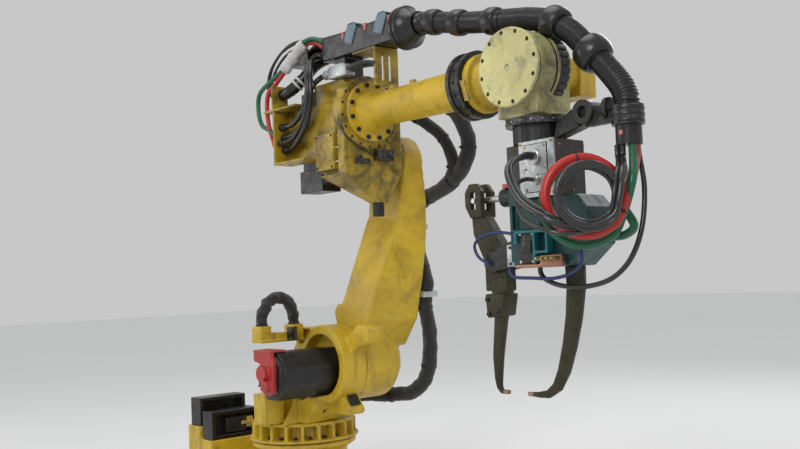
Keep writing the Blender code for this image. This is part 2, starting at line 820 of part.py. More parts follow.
def motor_outline(middle_x, middle_z):
    """The motor cover's section: a rectangle with its corners cut."""
    half_x, half_z = MOTOR_DEPTH / 2, MOTOR_HEIGHT / 2
    inner_x, inner_z = half_x - MOTOR_CHAMFER, half_z - MOTOR_CHAMFER
    outline = [(inner_x, half_z), (half_x, inner_z), (half_x, -inner_z), (inner_x, -half_z)]
    outline += [(-x, -z) for x, z in outline]
    return [(middle_x + x, middle_z + z) for x, z in outline]


def make_shoulder_motor(looks, column):
    """The black motor cover and the red guard round the two sockets on its end."""
    middle_z = SHOULDER_HEIGHT - MOTOR_DROP
    start = ARCH_FLOOR - SEAT
    end = start - MOTOR_LENGTH
    outline = motor_outline(SHOULDER_REACH, middle_z)
    cover = prism("Y", outline, (start, end))
    centre = Vector((SHOULDER_REACH, middle_z))
    share = 1 - 2 * MOTOR_END_INSET / MOTOR_DEPTH
    small = [tuple(centre + share * (Vector(point) - centre)) for point in outline]
    cap = prism("Y", small, (end + WELD, end - MOTOR_END_LENGTH))
    solid("shoulder_motor", looks["black"], column, [cover, cap])

    face = end - MOTOR_END_LENGTH - SEAT
    half_x, half_z = share * MOTOR_DEPTH / 2, share * MOTOR_HEIGHT / 2
    outline = [(SHOULDER_REACH + x * half_x, middle_z + z * half_z) for x, z in GUARD_OUTLINE_SHARES]
    plate = prism("Y", outline, (face - GUARD_THICKNESS, face))
    top = middle_z + MOTOR_HEIGHT / 2 + SEAT
    lip = box(
        (SHOULDER_REACH - half_x, SHOULDER_REACH + half_x / 2),
        (face - GUARD_THICKNESS, face + GUARD_TOP_LIP),
        (top, top + GUARD_THICKNESS / 2),
    )
    web = box(
        (SHOULDER_REACH - half_x, SHOULDER_REACH + half_x / 2),
        (face - GUARD_THICKNESS, face - SEAT),
        (top - MOTOR_END_INSET - GUARD_THICKNESS, top + WELD),
    )
    pieces = [plate, web, lip]
    for x_share, z_share, size in GUARD_SOCKET_SHARES:
        place = (SHOULDER_REACH + x_share * half_x, middle_z + z_share * half_z)
        span = (face - GUARD_THICKNESS - GUARD_SOCKET_LENGTH, face - WELD)
        pieces.append(drum("Y", place, size * GUARD_SOCKET_RADIUS, span, SMALL_SEGMENTS))
    solid("motor_guard", looks["red"], column, pieces)


def make_terminals(looks, column):
    """The shelf beside the crest, its terminal boxes, and the sleeve that arches between two of them."""
    top = CREST_HEIGHT - SHELF_DROP
    near = WEB_BACK - SEAT
    shelf = box((SHELF_REAR, SHELF_FRONT), (near - SHELF_LENGTH, near), (top, top + SHELF_THICKNESS))
    x = (SHELF_REAR + WELD, SHELF_FRONT - WELD)
    boxes = []
    for start, rise in TERMINAL_SHARES:
        y_end = near - start * SHELF_LENGTH - (0 if start else SEAT)
        z = (top + WELD, top + SHELF_THICKNESS + rise * TERMINAL_HEIGHT)
        boxes.append(box(x, (y_end - TERMINAL_LENGTH, y_end - WELD), z))
    solid("terminal_shelf", looks["yellow"], column, [shelf, *boxes])
    plug_y = near - TERMINAL_LENGTH - WELD
    plug = box(
        (SHELF_FRONT + SEAT, SHELF_FRONT + PLUG_BOX_LENGTH),
        (plug_y - PLUG_BOX_LENGTH, plug_y),
        (top + WELD, top + TERMINAL_HEIGHT),
    )
    solid("terminal_plug", looks["black"], column, [plug])
    seat = top + SHELF_THICKNESS + TERMINAL_HEIGHT + SEAT
    route = [
        (0.085, -0.303, seat),
        (0.085, -0.303, 0.920),
        (0.085, -0.262, 1.000),
        (0.085, -0.196, 1.030),
        (0.085, -0.132, 1.000),
        (0.085, -0.100, 0.920),
        (0.085, -0.100, seat),
    ]
    hose("terminal_sleeve", looks["rubber"], column, route, SLEEVE_RADIUS)

    deck = BASE_HEIGHT + TURNTABLE_HEIGHT
    low = deck + LOW_BOX_LIFT
    high = deck + LOW_BOX_HEIGHT
    low_box = box((LOW_BOX_REAR, LOW_BOX_FRONT), (LOW_BOX_FAR, LOW_BOX_NEAR), (low, high))
    foot = box(
        (LOW_BOX_REAR + WELD, LOW_BOX_FRONT - OVERRUN),
        (LOW_BOX_NEAR - 2 * OVERRUN, LOW_BOX_NEAR - WELD),
        (deck + SEAT, low + WELD),
    )
    lip = box(
        (LOW_BOX_REAR - 2 * OVERRUN, LOW_BOX_REAR + WELD),
        (LOW_BOX_FAR + OVERRUN, LOW_BOX_NEAR - OVERRUN),
        (low + WELD, low + WELD + SHELF_THICKNESS),
    )
    solid("low_terminal_box", looks["yellow"], column, [low_box, foot, lip])

    centre_x, centre_y = SWIVEL_MOTOR_X, SWIVEL_MOTOR_Y
    flange = box(
        spread(centre_x, SWIVEL_MOTOR_FLANGE),
        spread(centre_y, SWIVEL_MOTOR_FLANGE),
        (deck + SEAT, deck + SWIVEL_FLANGE_THICKNESS),
    )
    case = box(
        spread(centre_x, SWIVEL_MOTOR_WIDTH),
        spread(centre_y, SWIVEL_MOTOR_WIDTH),
        (deck + SWIVEL_FLANGE_THICKNESS - WELD, deck + SWIVEL_MOTOR_HEIGHT),
    )
    solid("swivel_motor", looks["black"], column, [flange, case])


def arm_section(height, rear, front_in, front_out, inner):
    """One level of the lower arm: four corners, as shares of the half depth, and its inner face."""
    half = ARM_HALF_DEPTH
    return [
        Vector((rear * half, inner, height)),
        Vector((front_in * half, inner, height)),
        Vector((front_out * half, ARM_OUTER_FACE, height)),
        Vector((rear * half, ARM_OUTER_FACE, height)),
    ]


def make_lower_arm(looks, arm):
    """A box arm whose inner face leans away from the casing, on a round barrel, with a round head."""
    levels = []
    for height, rear, front_in, front_out, way in ARM_LEVEL_SHARES:
        inner = ARM_INNER_LOW + way * (ARM_INNER_TOP - ARM_INNER_LOW)
        levels.append(arm_section(height * LOWER_ARM_LENGTH, rear, front_in, front_out, inner))
    blade = loft(levels)
    barrel = turned(
        "Y",
        (0, 0),
        [
            (SHOULDER_FACE, BARREL_RADIUS),
            (SHOULDER_FACE + BARREL_LENGTH, BARREL_RADIUS),
            (BARREL_NOSE_FACE, BARREL_NOSE_RADIUS),
        ],
    )
    faces = (ARM_INNER_TOP + SEAT, ARM_OUTER_FACE - SEAT)
    head = drum("Y", (0, LOWER_ARM_LENGTH), ARM_HEAD_RADIUS, faces)
    lug = prism(
        "Y",
        [
            (0, LUG_HEIGHT - LUG_THICKNESS / 2),
            (-LUG_REACH + OVERRUN, LUG_HEIGHT - LUG_THICKNESS / 2),
            (-LUG_REACH, LUG_HEIGHT),
            (-LUG_REACH + OVERRUN, LUG_HEIGHT + LUG_THICKNESS / 2),
            (0, LUG_HEIGHT + LUG_THICKNESS / 2),
        ],
        (ARM_INNER_LOW + SEAT, ARM_INNER_LOW + LUG_WIDTH),
    )
    solid("lower_arm", looks["yellow"], arm, [blade, barrel, head, lug])


def make_casing(looks, elbow):
    """The elbow casting: block with a raised front, hopper below, gear ring's seat and elbow boss."""
    near = CASING_NEAR + CASING_SIDE_RECESS
    outline = [
        (CASING_FRONT, CASING_LOW),
        (CASING_FRONT, CASING_TOP - CASING_BROW),
        (CASING_FRONT - CASING_BROW, CASING_TOP),
        (CASING_REAR, CASING_TOP),
        (CASING_REAR, CASING_LOW + CASING_BROW),
        (CASING_REAR + CASING_BROW, CASING_LOW),
    ]
    block = prism("Y", outline, (near, CASING_FAR))
    face = box(
        (CASING_FRONT - CASING_BROW, CASING_FRONT - SEAT),
        (CASING_NEAR, near + WELD),
        (CASING_LOW + SEAT, CASING_TOP - CASING_BROW),
    )
    rims = []
    for height, x, y in (
        (
            CASING_LOW + WELD,
            (CASING_REAR + CASING_BROW + WELD, CASING_FRONT + SEAT),
            (CASING_NEAR - SEAT, CASING_FAR - SEAT),
        ),
        (HOPPER_BOTTOM, (HOPPER_TIP_REAR, HOPPER_TIP_FRONT), (HOPPER_TIP_NEAR, HOPPER_TIP_FAR)),
    ):
        corners = ((x[0], y[0]), (x[1], y[0]), (x[1], y[1]), (x[0], y[1]))
        rims.append([Vector((*corner, height)) for corner in corners])
    hopper = loft(rims)
    span = (CASING_FRONT - CASING_BROW, GEAR_RING_FACE)
    ring_seat = drum("X", (0, ROLL_AXIS_RISE), GEAR_RING_RADIUS, span)
    boss = turned(
        "Y",
        (0, 0),
        [
            (CASING_FAR - WELD, ARM_HEAD_RADIUS),
            (ARM_INNER_TOP - RUNNING_GAP, ARM_HEAD_RADIUS),
            (ARM_INNER_TOP - RUNNING_GAP, ELBOW_BEARING_RADIUS),
            (ARM_INNER_TOP - SEAT, ELBOW_BEARING_RADIUS),
        ],
    )
    solid("elbow_casing", looks["yellow"], elbow, [block, face, hopper, ring_seat, boss])

    socket = box(
        (CASING_FRONT + SEAT, CASING_FRONT + SOCKET_DEPTH),
        spread(SOCKET_Y, SOCKET_WIDTH),
        spread(SOCKET_Z, SOCKET_HEIGHT),
    )
    solid("casing_socket", looks["black"], elbow, [socket])
    stop = drum(
        "Z",
        ((HOPPER_TIP_FRONT + HOPPER_TIP_REAR) / 2, (HOPPER_TIP_NEAR + HOPPER_TIP_FAR) / 2),
        STOP_PAD_RADIUS,
        (HOPPER_BOTTOM - SEAT - STOP_PAD_LENGTH, HOPPER_BOTTOM - SEAT),
        SMALL_SEGMENTS,
    )
    solid("casing_stop", looks["rubber"], elbow, [stop])
    plate_y = near - SEAT
    outline = [
        (SIDE_PLATE_REAR, SIDE_PLATE_LOW),
        (SIDE_PLATE_FRONT, SIDE_PLATE_LOW),
        (SIDE_PLATE_FRONT, SIDE_PLATE_TOP),
        (SIDE_PLATE_REAR, SIDE_PLATE_TOP),
    ]
    plate = prism("Y", outline, (plate_y - CASING_SIDE_RECESS, plate_y))
    solid("casing_side_cover", looks["yellow"], elbow, [plate])


def make_casing_rear(looks, elbow):
    """The wrist drives' motors behind the casing, the cable wall, the shelf above and the elbow motor."""
    rear = CASING_REAR - SEAT
    end = rear - WRIST_MOTOR_LENGTH
    middle = (CASING_TOP + CASING_LOW + CASING_BROW) / 2
    plate = box(
        (rear - REAR_PLATE_THICKNESS, rear),
        (CASING_NEAR + CASING_SIDE_RECESS, CASING_FAR - OVERRUN),
        (CASING_LOW + CASING_BROW, CASING_TOP),
    )
    motors = [plate]
    for rise in (-WRIST_MOTOR_SPREAD, 0, WRIST_MOTOR_SPREAD):
        motors.append(
            box(
                (end, rear - REAR_PLATE_THICKNESS / 2),
                spread(WRIST_MOTOR_Y, WRIST_MOTOR_SIZE),
                spread(middle + rise, WRIST_MOTOR_SIZE),
            )
        )
    solid("wrist_motors", looks["black"], elbow, motors)

    y_back = CASING_NEAR + CASING_SIDE_RECESS - SEAT
    wall_front = SIDE_PLATE_FRONT - OVERRUN
    back = box(
        (CABLE_WALL_REAR, wall_front),
        (y_back - CABLE_WALL_THICKNESS, y_back),
        (SIDE_PLATE_TOP + SEAT, CABLE_WALL_TOP),
    )
    low_back = box(
        (CABLE_WALL_REAR, SIDE_PLATE_REAR - SEAT),
        (y_back - CABLE_WALL_THICKNESS, y_back),
        (CABLE_WALL_LOW, SIDE_PLATE_TOP + WELD),
    )
    flange = box(
        (CABLE_WALL_REAR, CABLE_WALL_REAR + CABLE_WALL_THICKNESS),
        (y_back - CABLE_WALL_DEPTH, y_back - WELD),
        (CABLE_WALL_LOW, CABLE_WALL_TOP),
    )
    sill = box(
        (CABLE_WALL_REAR + WELD, SIDE_PLATE_REAR - SEAT),
        (y_back - CABLE_WALL_DEPTH, y_back - WELD),
        (CABLE_WALL_LOW, CABLE_WALL_LOW + CABLE_WALL_THICKNESS),
    )
    solid("cable_wall", looks["yellow"], elbow, [back, low_back, flange, sill])

    shelf_low = CABLE_WALL_TOP + SEAT
    shelf = box(
        (SHELF_TOP_REAR, CASING_REAR - OVERRUN),
        (y_back - CABLE_WALL_DEPTH, y_back),
        (shelf_low, shelf_low + SHELF_THICKNESS),
    )
    upright = box(
        (SHELF_TOP_REAR + 4 * OVERRUN, SHELF_TOP_REAR + 4 * OVERRUN + SHELF_THICKNESS),
        (y_back - CABLE_WALL_DEPTH, y_back - OVERRUN),
        (shelf_low + WELD, shelf_low + SHELF_UPRIGHT_HEIGHT),
    )
    solid("hose_shelf", looks["yellow"], elbow, [shelf, upright])

    drop = middle - WRIST_MOTOR_SPREAD - WRIST_MOTOR_SIZE / 2 - SEAT
    motor = box(
        (rear - ELBOW_MOTOR_LENGTH, rear - REAR_PLATE_THICKNESS - SEAT),
        spread(ELBOW_MOTOR_Y, ELBOW_MOTOR_SIZE),
        (drop - ELBOW_MOTOR_SIZE, drop),
    )
    shoe = box(
        (rear - ELBOW_MOTOR_LENGTH / 2, CASING_REAR + CASING_BROW / 2),
        spread(ELBOW_MOTOR_Y, ELBOW_MOTOR_SIZE - OVERRUN),
        (CASING_LOW - OVERRUN, CASING_LOW - SEAT),
    )
    solid("elbow_motor", looks["black"], elbow, [motor, shoe])


def make_trough(looks, elbow):
    """The dress pack's channel over the casing, on its pedestal and slotted bracket, with its bell."""
    x = (TROUGH_REAR, TROUGH_FRONT)
    y = spread(TROUGH_Y, TROUGH_WIDTH)
    channel = box(x, y, (TROUGH_LOW, TROUGH_LOW + TROUGH_HEIGHT))
    inside = box(
        (TROUGH_REAR - OVERRUN, TROUGH_FRONT + OVERRUN),
        spread(TROUGH_Y, TROUGH_WIDTH - 2 * TROUGH_WALL),
        (TROUGH_LOW + TROUGH_WALL, TROUGH_LOW + TROUGH_HEIGHT + OVERRUN),
    )
    pedestal = box(
        (PEDESTAL_REAR, CASING_FRONT - CASING_BROW - OVERRUN),
        spread(TROUGH_Y, PEDESTAL_WIDTH),
        (CASING_TOP + SEAT, TROUGH_LOW + WELD),
    )
    solid("dress_trough", looks["black"], elbow, [channel, pedestal], [inside])

    low, high = TROUGH_LOW - SEAT - BRACKET_THICKNESS, TROUGH_LOW - SEAT
    top = box((CASING_FRONT, BRACKET_FRONT), y, (low, high))
    plate = box((BRACKET_FRONT - BRACKET_THICKNESS, BRACKET_FRONT), y, (BRACKET_LOW, high))
    slots = []
    for share in BRACKET_SLOT_SHARES:
        middle = y[0] + share * TROUGH_WIDTH
        slots.append(
            box(
                (BRACKET_FRONT - OVERRUN, BRACKET_FRONT + OVERRUN),
                spread(middle, BRACKET_SLOT),
                (BRACKET_LOW + 2 * BRACKET_SLOT, low - 2 * BRACKET_SLOT),
            )
        )
    solid("trough_bracket", looks["yellow"], elbow, [top, plate], slots)

    centre = (TROUGH_Y, TROUGH_LOW + TROUGH_HEIGHT / 2)
    start = TROUGH_FRONT + SEAT
    bell = turned(
        "X",
        centre,
        [
            (start, BELL_MOUTH_RADIUS),
            (start + BELL_LENGTH / 3, BELL_MOUTH_RADIUS),
            (start + BELL_LENGTH, BELL_NECK_RADIUS),
        ],
    )
    solid("trough_bell", looks["black"], elbow, [bell])


def make_forearm(looks, forearm):
    """The tube with its bolted flange and flared end, the bearing ring, and the wrist's fork."""
    start = GEAR_RING_FACE + GEAR_GAP
    root = start + FOREARM_FLANGE_THICKNESS
    profile = [
        (start, FOREARM_FLANGE_RADIUS),
        (root, FOREARM_FLANGE_RADIUS),
        (root, TUBE_ROOT_RADIUS),
        (root + TUBE_ROOT_LENGTH, TUBE_RADIUS),
        (TUBE_FLARE_START, TUBE_RADIUS + OVERRUN / 2),
        (TUBE_END - TUBE_COLLAR_THICKNESS, TUBE_FLARE_RADIUS - OVERRUN),
        (TUBE_END - TUBE_COLLAR_THICKNESS, TUBE_FLARE_RADIUS),
        (TUBE_END, TUBE_FLARE_RADIUS),
    ]
    solid("forearm_tube", looks["yellow"], forearm, [turned("X", (0, 0), profile)])
    ring_start = TUBE_END + SEAT
    ring_end = ring_start + RING_LENGTH
    groove = [ring_start + share * RING_LENGTH for share in RING_GROOVE_SHARES]
    profile = [
        (ring_start, RING_RADIUS),
        (groove[0], RING_RADIUS),
        (groove[0], RING_RADIUS - RING_GROOVE),
        (groove[1], RING_RADIUS - RING_GROOVE),
        (groove[1], RING_RADIUS),
        (ring_end, RING_RADIUS),
    ]
    solid("forearm_ring", looks["black"], forearm, [turned("X", (0, 0), profile)])

    neck_start = ring_end + SEAT
    neck_end = neck_start + NECK_LENGTH
    neck = turned(
        "X",
        (0, 0),
        [
            (neck_start, NECK_RADIUS),
            (neck_end, NECK_RADIUS),
            (neck_end, NECK_CONE_RADIUS),
            (neck_end + NECK_CONE_LENGTH, NECK_CONE_RADIUS * NECK_CONE_SHARE),
        ],
    )
    cheek_outline = [
        (neck_start + WELD, 0),
        (neck_start + WELD, NECK_RADIUS - OVERRUN),
        (neck_end + NECK_CONE_LENGTH, FORK_OUTER_FACE - OVERRUN),
        (FOREARM_LENGTH - FORK_HUB_RADIUS, FORK_OUTER_FACE),
        (FORK_FRONT, FORK_OUTER_FACE),
        (FORK_FRONT, 2 * FORK_INNER_FACE),
        (FOREARM_LENGTH - DRUM_RADIUS, 2 * FORK_INNER_FACE),
        (neck_end + NECK_CONE_LENGTH, FORK_INNER_FACE),
        (neck_end + NECK_CONE_LENGTH - OVERRUN, 0),
    ]
    cheek = prism("Z", cheek_outline, (FORK_LOW, FORK_TOP))
    faces = (DRUM_FAR_FACE + SEAT, 2 * FORK_INNER_FACE + WELD)
    hub = drum("Y", (FOREARM_LENGTH, 0), FORK_HUB_RADIUS, faces)
    solid("wrist_fork", looks["yellow"], forearm, [neck, cheek, hub])


def notched_ring(span):
    """A ring of square teeth round the wrist drum, sunk into it."""
    outline = []
    pitch = math.tau / NOTCH_COUNT
    for tooth in range(NOTCH_COUNT):
        start = tooth * pitch
        end = start + NOTCH_SHARE * pitch
        for radius, angle in (
            (DRUM_RADIUS - NOTCH_DEPTH, start),
            (DRUM_RADIUS + NOTCH_RISE, start),
            (DRUM_RADIUS + NOTCH_RISE, end),
            (DRUM_RADIUS - NOTCH_DEPTH, end),
        ):
            outline.append((radius * math.cos(angle), radius * math.sin(angle)))
    return prism("Y", outline, span)


def make_wrist(looks, wrist):
    """The wrist drum with its round cover, and the block that carries the tool flange's gear."""
    cover = drum("Y", (0, 0), COVER_RADIUS, (COVER_FACE, COVER_FACE + COVER_THICKNESS))
    solid("wrist_cover", looks["pale"], wrist, [cover])
    start = COVER_FACE + COVER_THICKNESS + SEAT
    groove = start + (DRUM_FAR_FACE - start) / 2
    body = turned(
        "Y",
        (0, 0),
        [
            (start, DRUM_RADIUS - DRUM_GROOVE),
            (start + DRUM_GROOVE_WIDTH, DRUM_RADIUS - DRUM_GROOVE),
            (start + DRUM_GROOVE_WIDTH, DRUM_RADIUS),
            (groove, DRUM_RADIUS),
            (groove, DRUM_RADIUS - DRUM_GROOVE),
            (groove + DRUM_GROOVE_WIDTH, DRUM_RADIUS - DRUM_GROOVE),
            (groove + DRUM_GROOVE_WIDTH, DRUM_RADIUS),
            (NOTCH_NEAR, DRUM_RADIUS),
            (NOTCH_NEAR, DRUM_RADIUS - NOTCH_DEPTH / 2),
            (NOTCH_FAR, DRUM_RADIUS - NOTCH_DEPTH / 2),
            (NOTCH_FAR, DRUM_RADIUS),
            (DRUM_FAR_FACE - DRUM_GROOVE_WIDTH, DRUM_RADIUS),
            (DRUM_FAR_FACE, WRIST_HUB_RADIUS),
        ],
    )
    notches = notched_ring((NOTCH_NEAR - SEAT, NOTCH_FAR + SEAT))
    block = box(
        spread(0, 2 * BLOCK_HALF_LENGTH),
        (BLOCK_NEAR, BLOCK_FAR - OVERRUN),
        (BLOCK_LOW, -DRUM_RADIUS / 2),
    )
    span = (BLOCK_LOW - RUNNING_GAP, BLOCK_LOW + WELD)
    nose = drum("Z", (0, 0), TOOL_FLANGE_RADIUS - RUNNING_GAP, span)
    solid("wrist_drum", looks["pale"], wrist, [body, block, nose, notches])


def make_tool_mount(looks, tool):
    """The flange and adapter under the wrist, and the swing bracket with the conduit's clamp."""
    top = FLANGE_DROP + BLOCK_LOW - RUNNING_GAP - SEAT
    low = top - TOOL_FLANGE_THICKNESS
    foot = GUN_TOP + SEAT
    flange = turned(
        "Z",
        (0, 0),
        [
            (top, TOOL_FLANGE_RADIUS),
            (low, TOOL_FLANGE_RADIUS),
            (low, ADAPTER_RADIUS),
            (foot, ADAPTER_RADIUS),
        ],
    )
    solid("tool_flange", looks["black"], tool, [flange])

    reach = CLAMP_X - CLAMP_RADIUS - SEAT
    arm = prism(
        "Y",
        [
            (ADAPTER_RADIUS + SEAT, foot + WELD),
            (ADAPTER_RADIUS + SEAT + OVERRUN, low - WELD),
            (SWING_REACH, SWING_BOSS_RADIUS),
            (SWING_REACH, -SWING_BOSS_RADIUS),
        ],
        spread(0, SWING_WIDTH),
    )
    faces = spread(0, SWING_WIDTH + OVERRUN)
    boss = drum("Y", (SWING_REACH, 0), SWING_BOSS_RADIUS, faces, SMALL_SEGMENTS)
    disc_face = reach - SWING_DISC_GAP
    disc = drum("X", (0, 0), SWING_DISC_RADIUS, (disc_face - OVERRUN, disc_face), SMALL_SEGMENTS)
    link = box((SWING_REACH, reach), spread(0, SWING_LINK_WIDTH), spread(CLAMP_Z, SWING_LINK_WIDTH))
    through = spread(0, SWING_WIDTH + 3 * OVERRUN)
    bore = drum("Y", (SWING_REACH, 0), SWING_BORE_RADIUS, through, SMALL_SEGMENTS)
    solid("swing_bracket", looks["steel"], tool, [arm, boss, disc, link], [bore])
    top, bottom = CLAMP_Z + CLAMP_HEIGHT / 2, CLAMP_Z - CLAMP_HEIGHT / 2
    clamp = turned(
        "Z",
        (CLAMP_X, 0),
        [
            (top, CLAMP_RADIUS),
            (bottom, CLAMP_RADIUS),
            (bottom, CLAMP_TAIL_RADIUS),
            (bottom - CLAMP_TAIL, CLAMP_TAIL_RADIUS),
        ],
    )
    solid("conduit_clamp", looks["black"], tool, [clamp])


def make_gun(looks, tool):
    """The transformer and its panel, the body with the cylinder's tower, and the lever's cheeks."""
    bottom = GUN_TOP - TRANSFORMER_HEIGHT
    tower_top = bottom + GUN_TOWER_HEIGHT
    case = box(
        (TRANSFORMER_REAR, TRANSFORMER_FRONT),
        (TRANSFORMER_NEAR + PANEL_THICKNESS + SEAT, TRANSFORMER_FAR),
        (bottom, GUN_TOP),
    )
    shoulder = box(
        (GUN_BODY_REAR, TRANSFORMER_REAR + WELD),
        (-GUN_BODY_HALF_WIDTH, GUN_BODY_HALF_WIDTH),
        (tower_top + SEAT, GUN_TOP),
    )
    solid("transformer", looks["plate"], tool, [case, shoulder])
    panel = box(
        (TRANSFORMER_REAR, TRANSFORMER_FRONT),
        (TRANSFORMER_NEAR, TRANSFORMER_NEAR + PANEL_THICKNESS),
        (bottom, GUN_TOP),
    )
    sockets = []
    for share, size in PANEL_SOCKET_SHARES:
        place = (
            TRANSFORMER_REAR + (TRANSFORMER_FRONT - TRANSFORMER_REAR) / 2,
            bottom + share * TRANSFORMER_HEIGHT,
        )
        span = (TRANSFORMER_NEAR - PANEL_SOCKET_LENGTH, TRANSFORMER_NEAR + WELD)
        sockets.append(drum("Y", place, size * PANEL_SOCKET_RADIUS, span, SMALL_SEGMENTS))
    solid("connector_panel", looks["plate"], tool, [panel, *sockets])

    body_top = bottom - SEAT
    span = (-GUN_BODY_HALF_WIDTH, GUN_BODY_HALF_WIDTH)
    length = GUN_BODY_FRONT - GUN_BODY_REAR
    height = body_top - GUN_BODY_LOW
    outline = [(GUN_BODY_REAR + x * length, GUN_BODY_LOW + z * height) for x, z in BODY_SHARES]
    tower_front = TRANSFORMER_REAR - SEAT
    outline += [(tower_front, body_top), (tower_front, tower_top), (GUN_BODY_REAR, tower_top)]
    body = prism("Y", outline, span)
    rod_z = HEAD_Z - LEVER_DROP
    travel = (GUN_BODY_REAR - OVERRUN, GUN_BODY_REAR + ROD_TRAVEL_ROOM)
    cuts = [drum("X", (0, rod_z), ROD_RADIUS + 2 * ROD_CLEARANCE, travel, SMALL_SEGMENTS)]
    pocket_z = (GUN_BODY_LOW + POCKET_LOW_SHARE * height, GUN_BODY_LOW + POCKET_TOP_SHARE * height)
    pocket_y = (-GUN_BODY_HALF_WIDTH - OVERRUN, -GUN_BODY_HALF_WIDTH + POCKET_DEPTH)
    for ends in ((GUN_BODY_REAR, FRAME_POST), (FRAME_POST, TRANSFORMER_FRONT)):
        cuts.append(box((ends[0] + POCKET_RIB, ends[1] - POCKET_RIB), pocket_y, pocket_z))
    solid("gun_body", looks["teal"], tool, [body], cuts)
    ends = (GUN_BODY_REAR - CYLINDER_LENGTH, GUN_BODY_REAR - SEAT)
    cylinder = drum("X", (0, rod_z), CYLINDER_RADIUS, ends)
    bore = drum(
        "X",
        (0, rod_z),
        ROD_RADIUS + ROD_CLEARANCE,
        (GUN_BODY_REAR - CYLINDER_LENGTH - OVERRUN, GUN_BODY_REAR + OVERRUN),
        SMALL_SEGMENTS,
    )
    solid("gun_cylinder", looks["steel"], tool, [cylinder], [bore])

    inner = LEVER_HALF_WIDTH + CHEEK_GAP
    outer = inner + CHEEK_THICKNESS
    pivot_z = -LEVER_DROP
    root = GUN_BODY_REAR - SEAT
    plates = []
    for side in (-1, 1):
        faces = (side * inner, side * outer)
        plates.append(drum("Y", (LEVER_X, pivot_z), CHEEK_RADIUS, faces, SMALL_SEGMENTS))
        plates.append(
            prism(
                "Y",
                [
                    (LEVER_X, pivot_z - CHEEK_RADIUS + WELD),
                    (root, pivot_z - CHEEK_RADIUS / 2),
                    (root, pivot_z + 2 * CHEEK_RADIUS),
                    (LEVER_X, pivot_z + CHEEK_RADIUS - WELD),
                ],
                faces,
            )
        )
    pin = drum("Y", (LEVER_X, pivot_z), PIN_RADIUS, (-outer + WELD, outer - WELD), SMALL_SEGMENTS)
    back = box(
        (root - CHEEK_THICKNESS, root),
        (-outer + WELD, outer - WELD),
        (pivot_z - CHEEK_RADIUS / 2 + WELD, pivot_z + 2 * CHEEK_RADIUS - WELD),
    )
    solid("lever_cheeks", looks["steel"], tool, [back, *plates, pin])


def make_gun_frame(looks, tool):
    """The open frame on the body's near side, and the casting below it that takes the current."""
    near = -GUN_BODY_HALF_WIDTH - SEAT
    bars = prism(
        "Y",
        [
            (FRAME_REAR, FRAME_TOP),
            (FRAME_FRONT, FRAME_TOP),
            (FRAME_FRONT, FRAME_WINDOW_LOW),
            (FRAME_POST + FRAME_BAR, FRAME_WINDOW_LOW),
            (FRAME_POST + FRAME_BAR, FRAME_LOW),
            (FRAME_POST, FRAME_LOW),
            (FRAME_POST, FRAME_TOP - FRAME_BAR),
            (FRAME_REAR + FRAME_BAR, FRAME_TOP - FRAME_BAR),
            (FRAME_REAR + FRAME_BAR, FRAME_STUB_LOW),
            (FRAME_REAR, FRAME_STUB_LOW),
        ],
        (near - FRAME_DEPTH, near),
    )
    window = box(
        (FRAME_POST + FRAME_BAR, FRAME_FRONT - FRAME_BAR),
        (near - FRAME_DEPTH - OVERRUN, near + OVERRUN),
        (FRAME_WINDOW_LOW + FRAME_BAR, FRAME_TOP - FRAME_BAR),
    )
    solid("gun_frame", looks["teal"], tool, [bars], [window])
    span = (near - SHUNT_DEPTH, near)
    strip = box((SHUNT_REAR, SHUNT_BLOCK_REAR + WELD), span, (GUN_BODY_LOW, SHUNT_TOP))
    block = box((SHUNT_BLOCK_REAR, SHUNT_BLOCK_FRONT), span, (GUN_BODY_LOW, SHUNT_BLOCK_TOP))
    solid("copper_shunt", looks["bronze"], tool, [block, strip])


def swept(stations, segments=SMALL_SEGMENTS // 2 + 4):
    """A round bar of changing radius through stations in the plane across Y."""
    rings = []
    for index, (x, z, radius) in enumerate(stations):
        before = stations[max(index - 1, 0)]
        after = stations[min(index + 1, len(stations) - 1)]
        along = Vector((after[0] - before[0], 0, after[1] - before[1])).normalized()
        across = Vector((along.z, 0, -along.x))
        ring = []
        for step in range(segments):
            angle = math.tau * step / segments
            out = across * math.cos(angle) + Vector((0, 1, 0)) * math.sin(angle)
            ring.append(Vector((x, 0, z)) + radius * out)
        rings.append(ring)
    return loft(rings)


def make_fixed_arm(looks, tool):
    """The bent electrode arm under the gun body, with its tip facing the lever's."""
    stations = []
    reach = ELECTRODE_REACH
    for x, z, radius in FIXED_STATION_SHARES:
        stations.append((LEVER_X + x * reach, z * reach - LEVER_DROP, radius * reach))
    stations[0] = (stations[0][0], GUN_BODY_LOW - SEAT, stations[0][2])
    last_x, tip_z, _ = stations[-1]
    tip_x = LEVER_X + LEVER_STATION_SHARES[-1][0] * reach + TIP_LENGTH + TIP_GAP
    tip = drum("X", (0, tip_z), TIP_RADIUS, (last_x + WELD, tip_x), SMALL_SEGMENTS)
    solid("fixed_electrode_arm", looks["bronze"], tool, [swept(stations), tip])


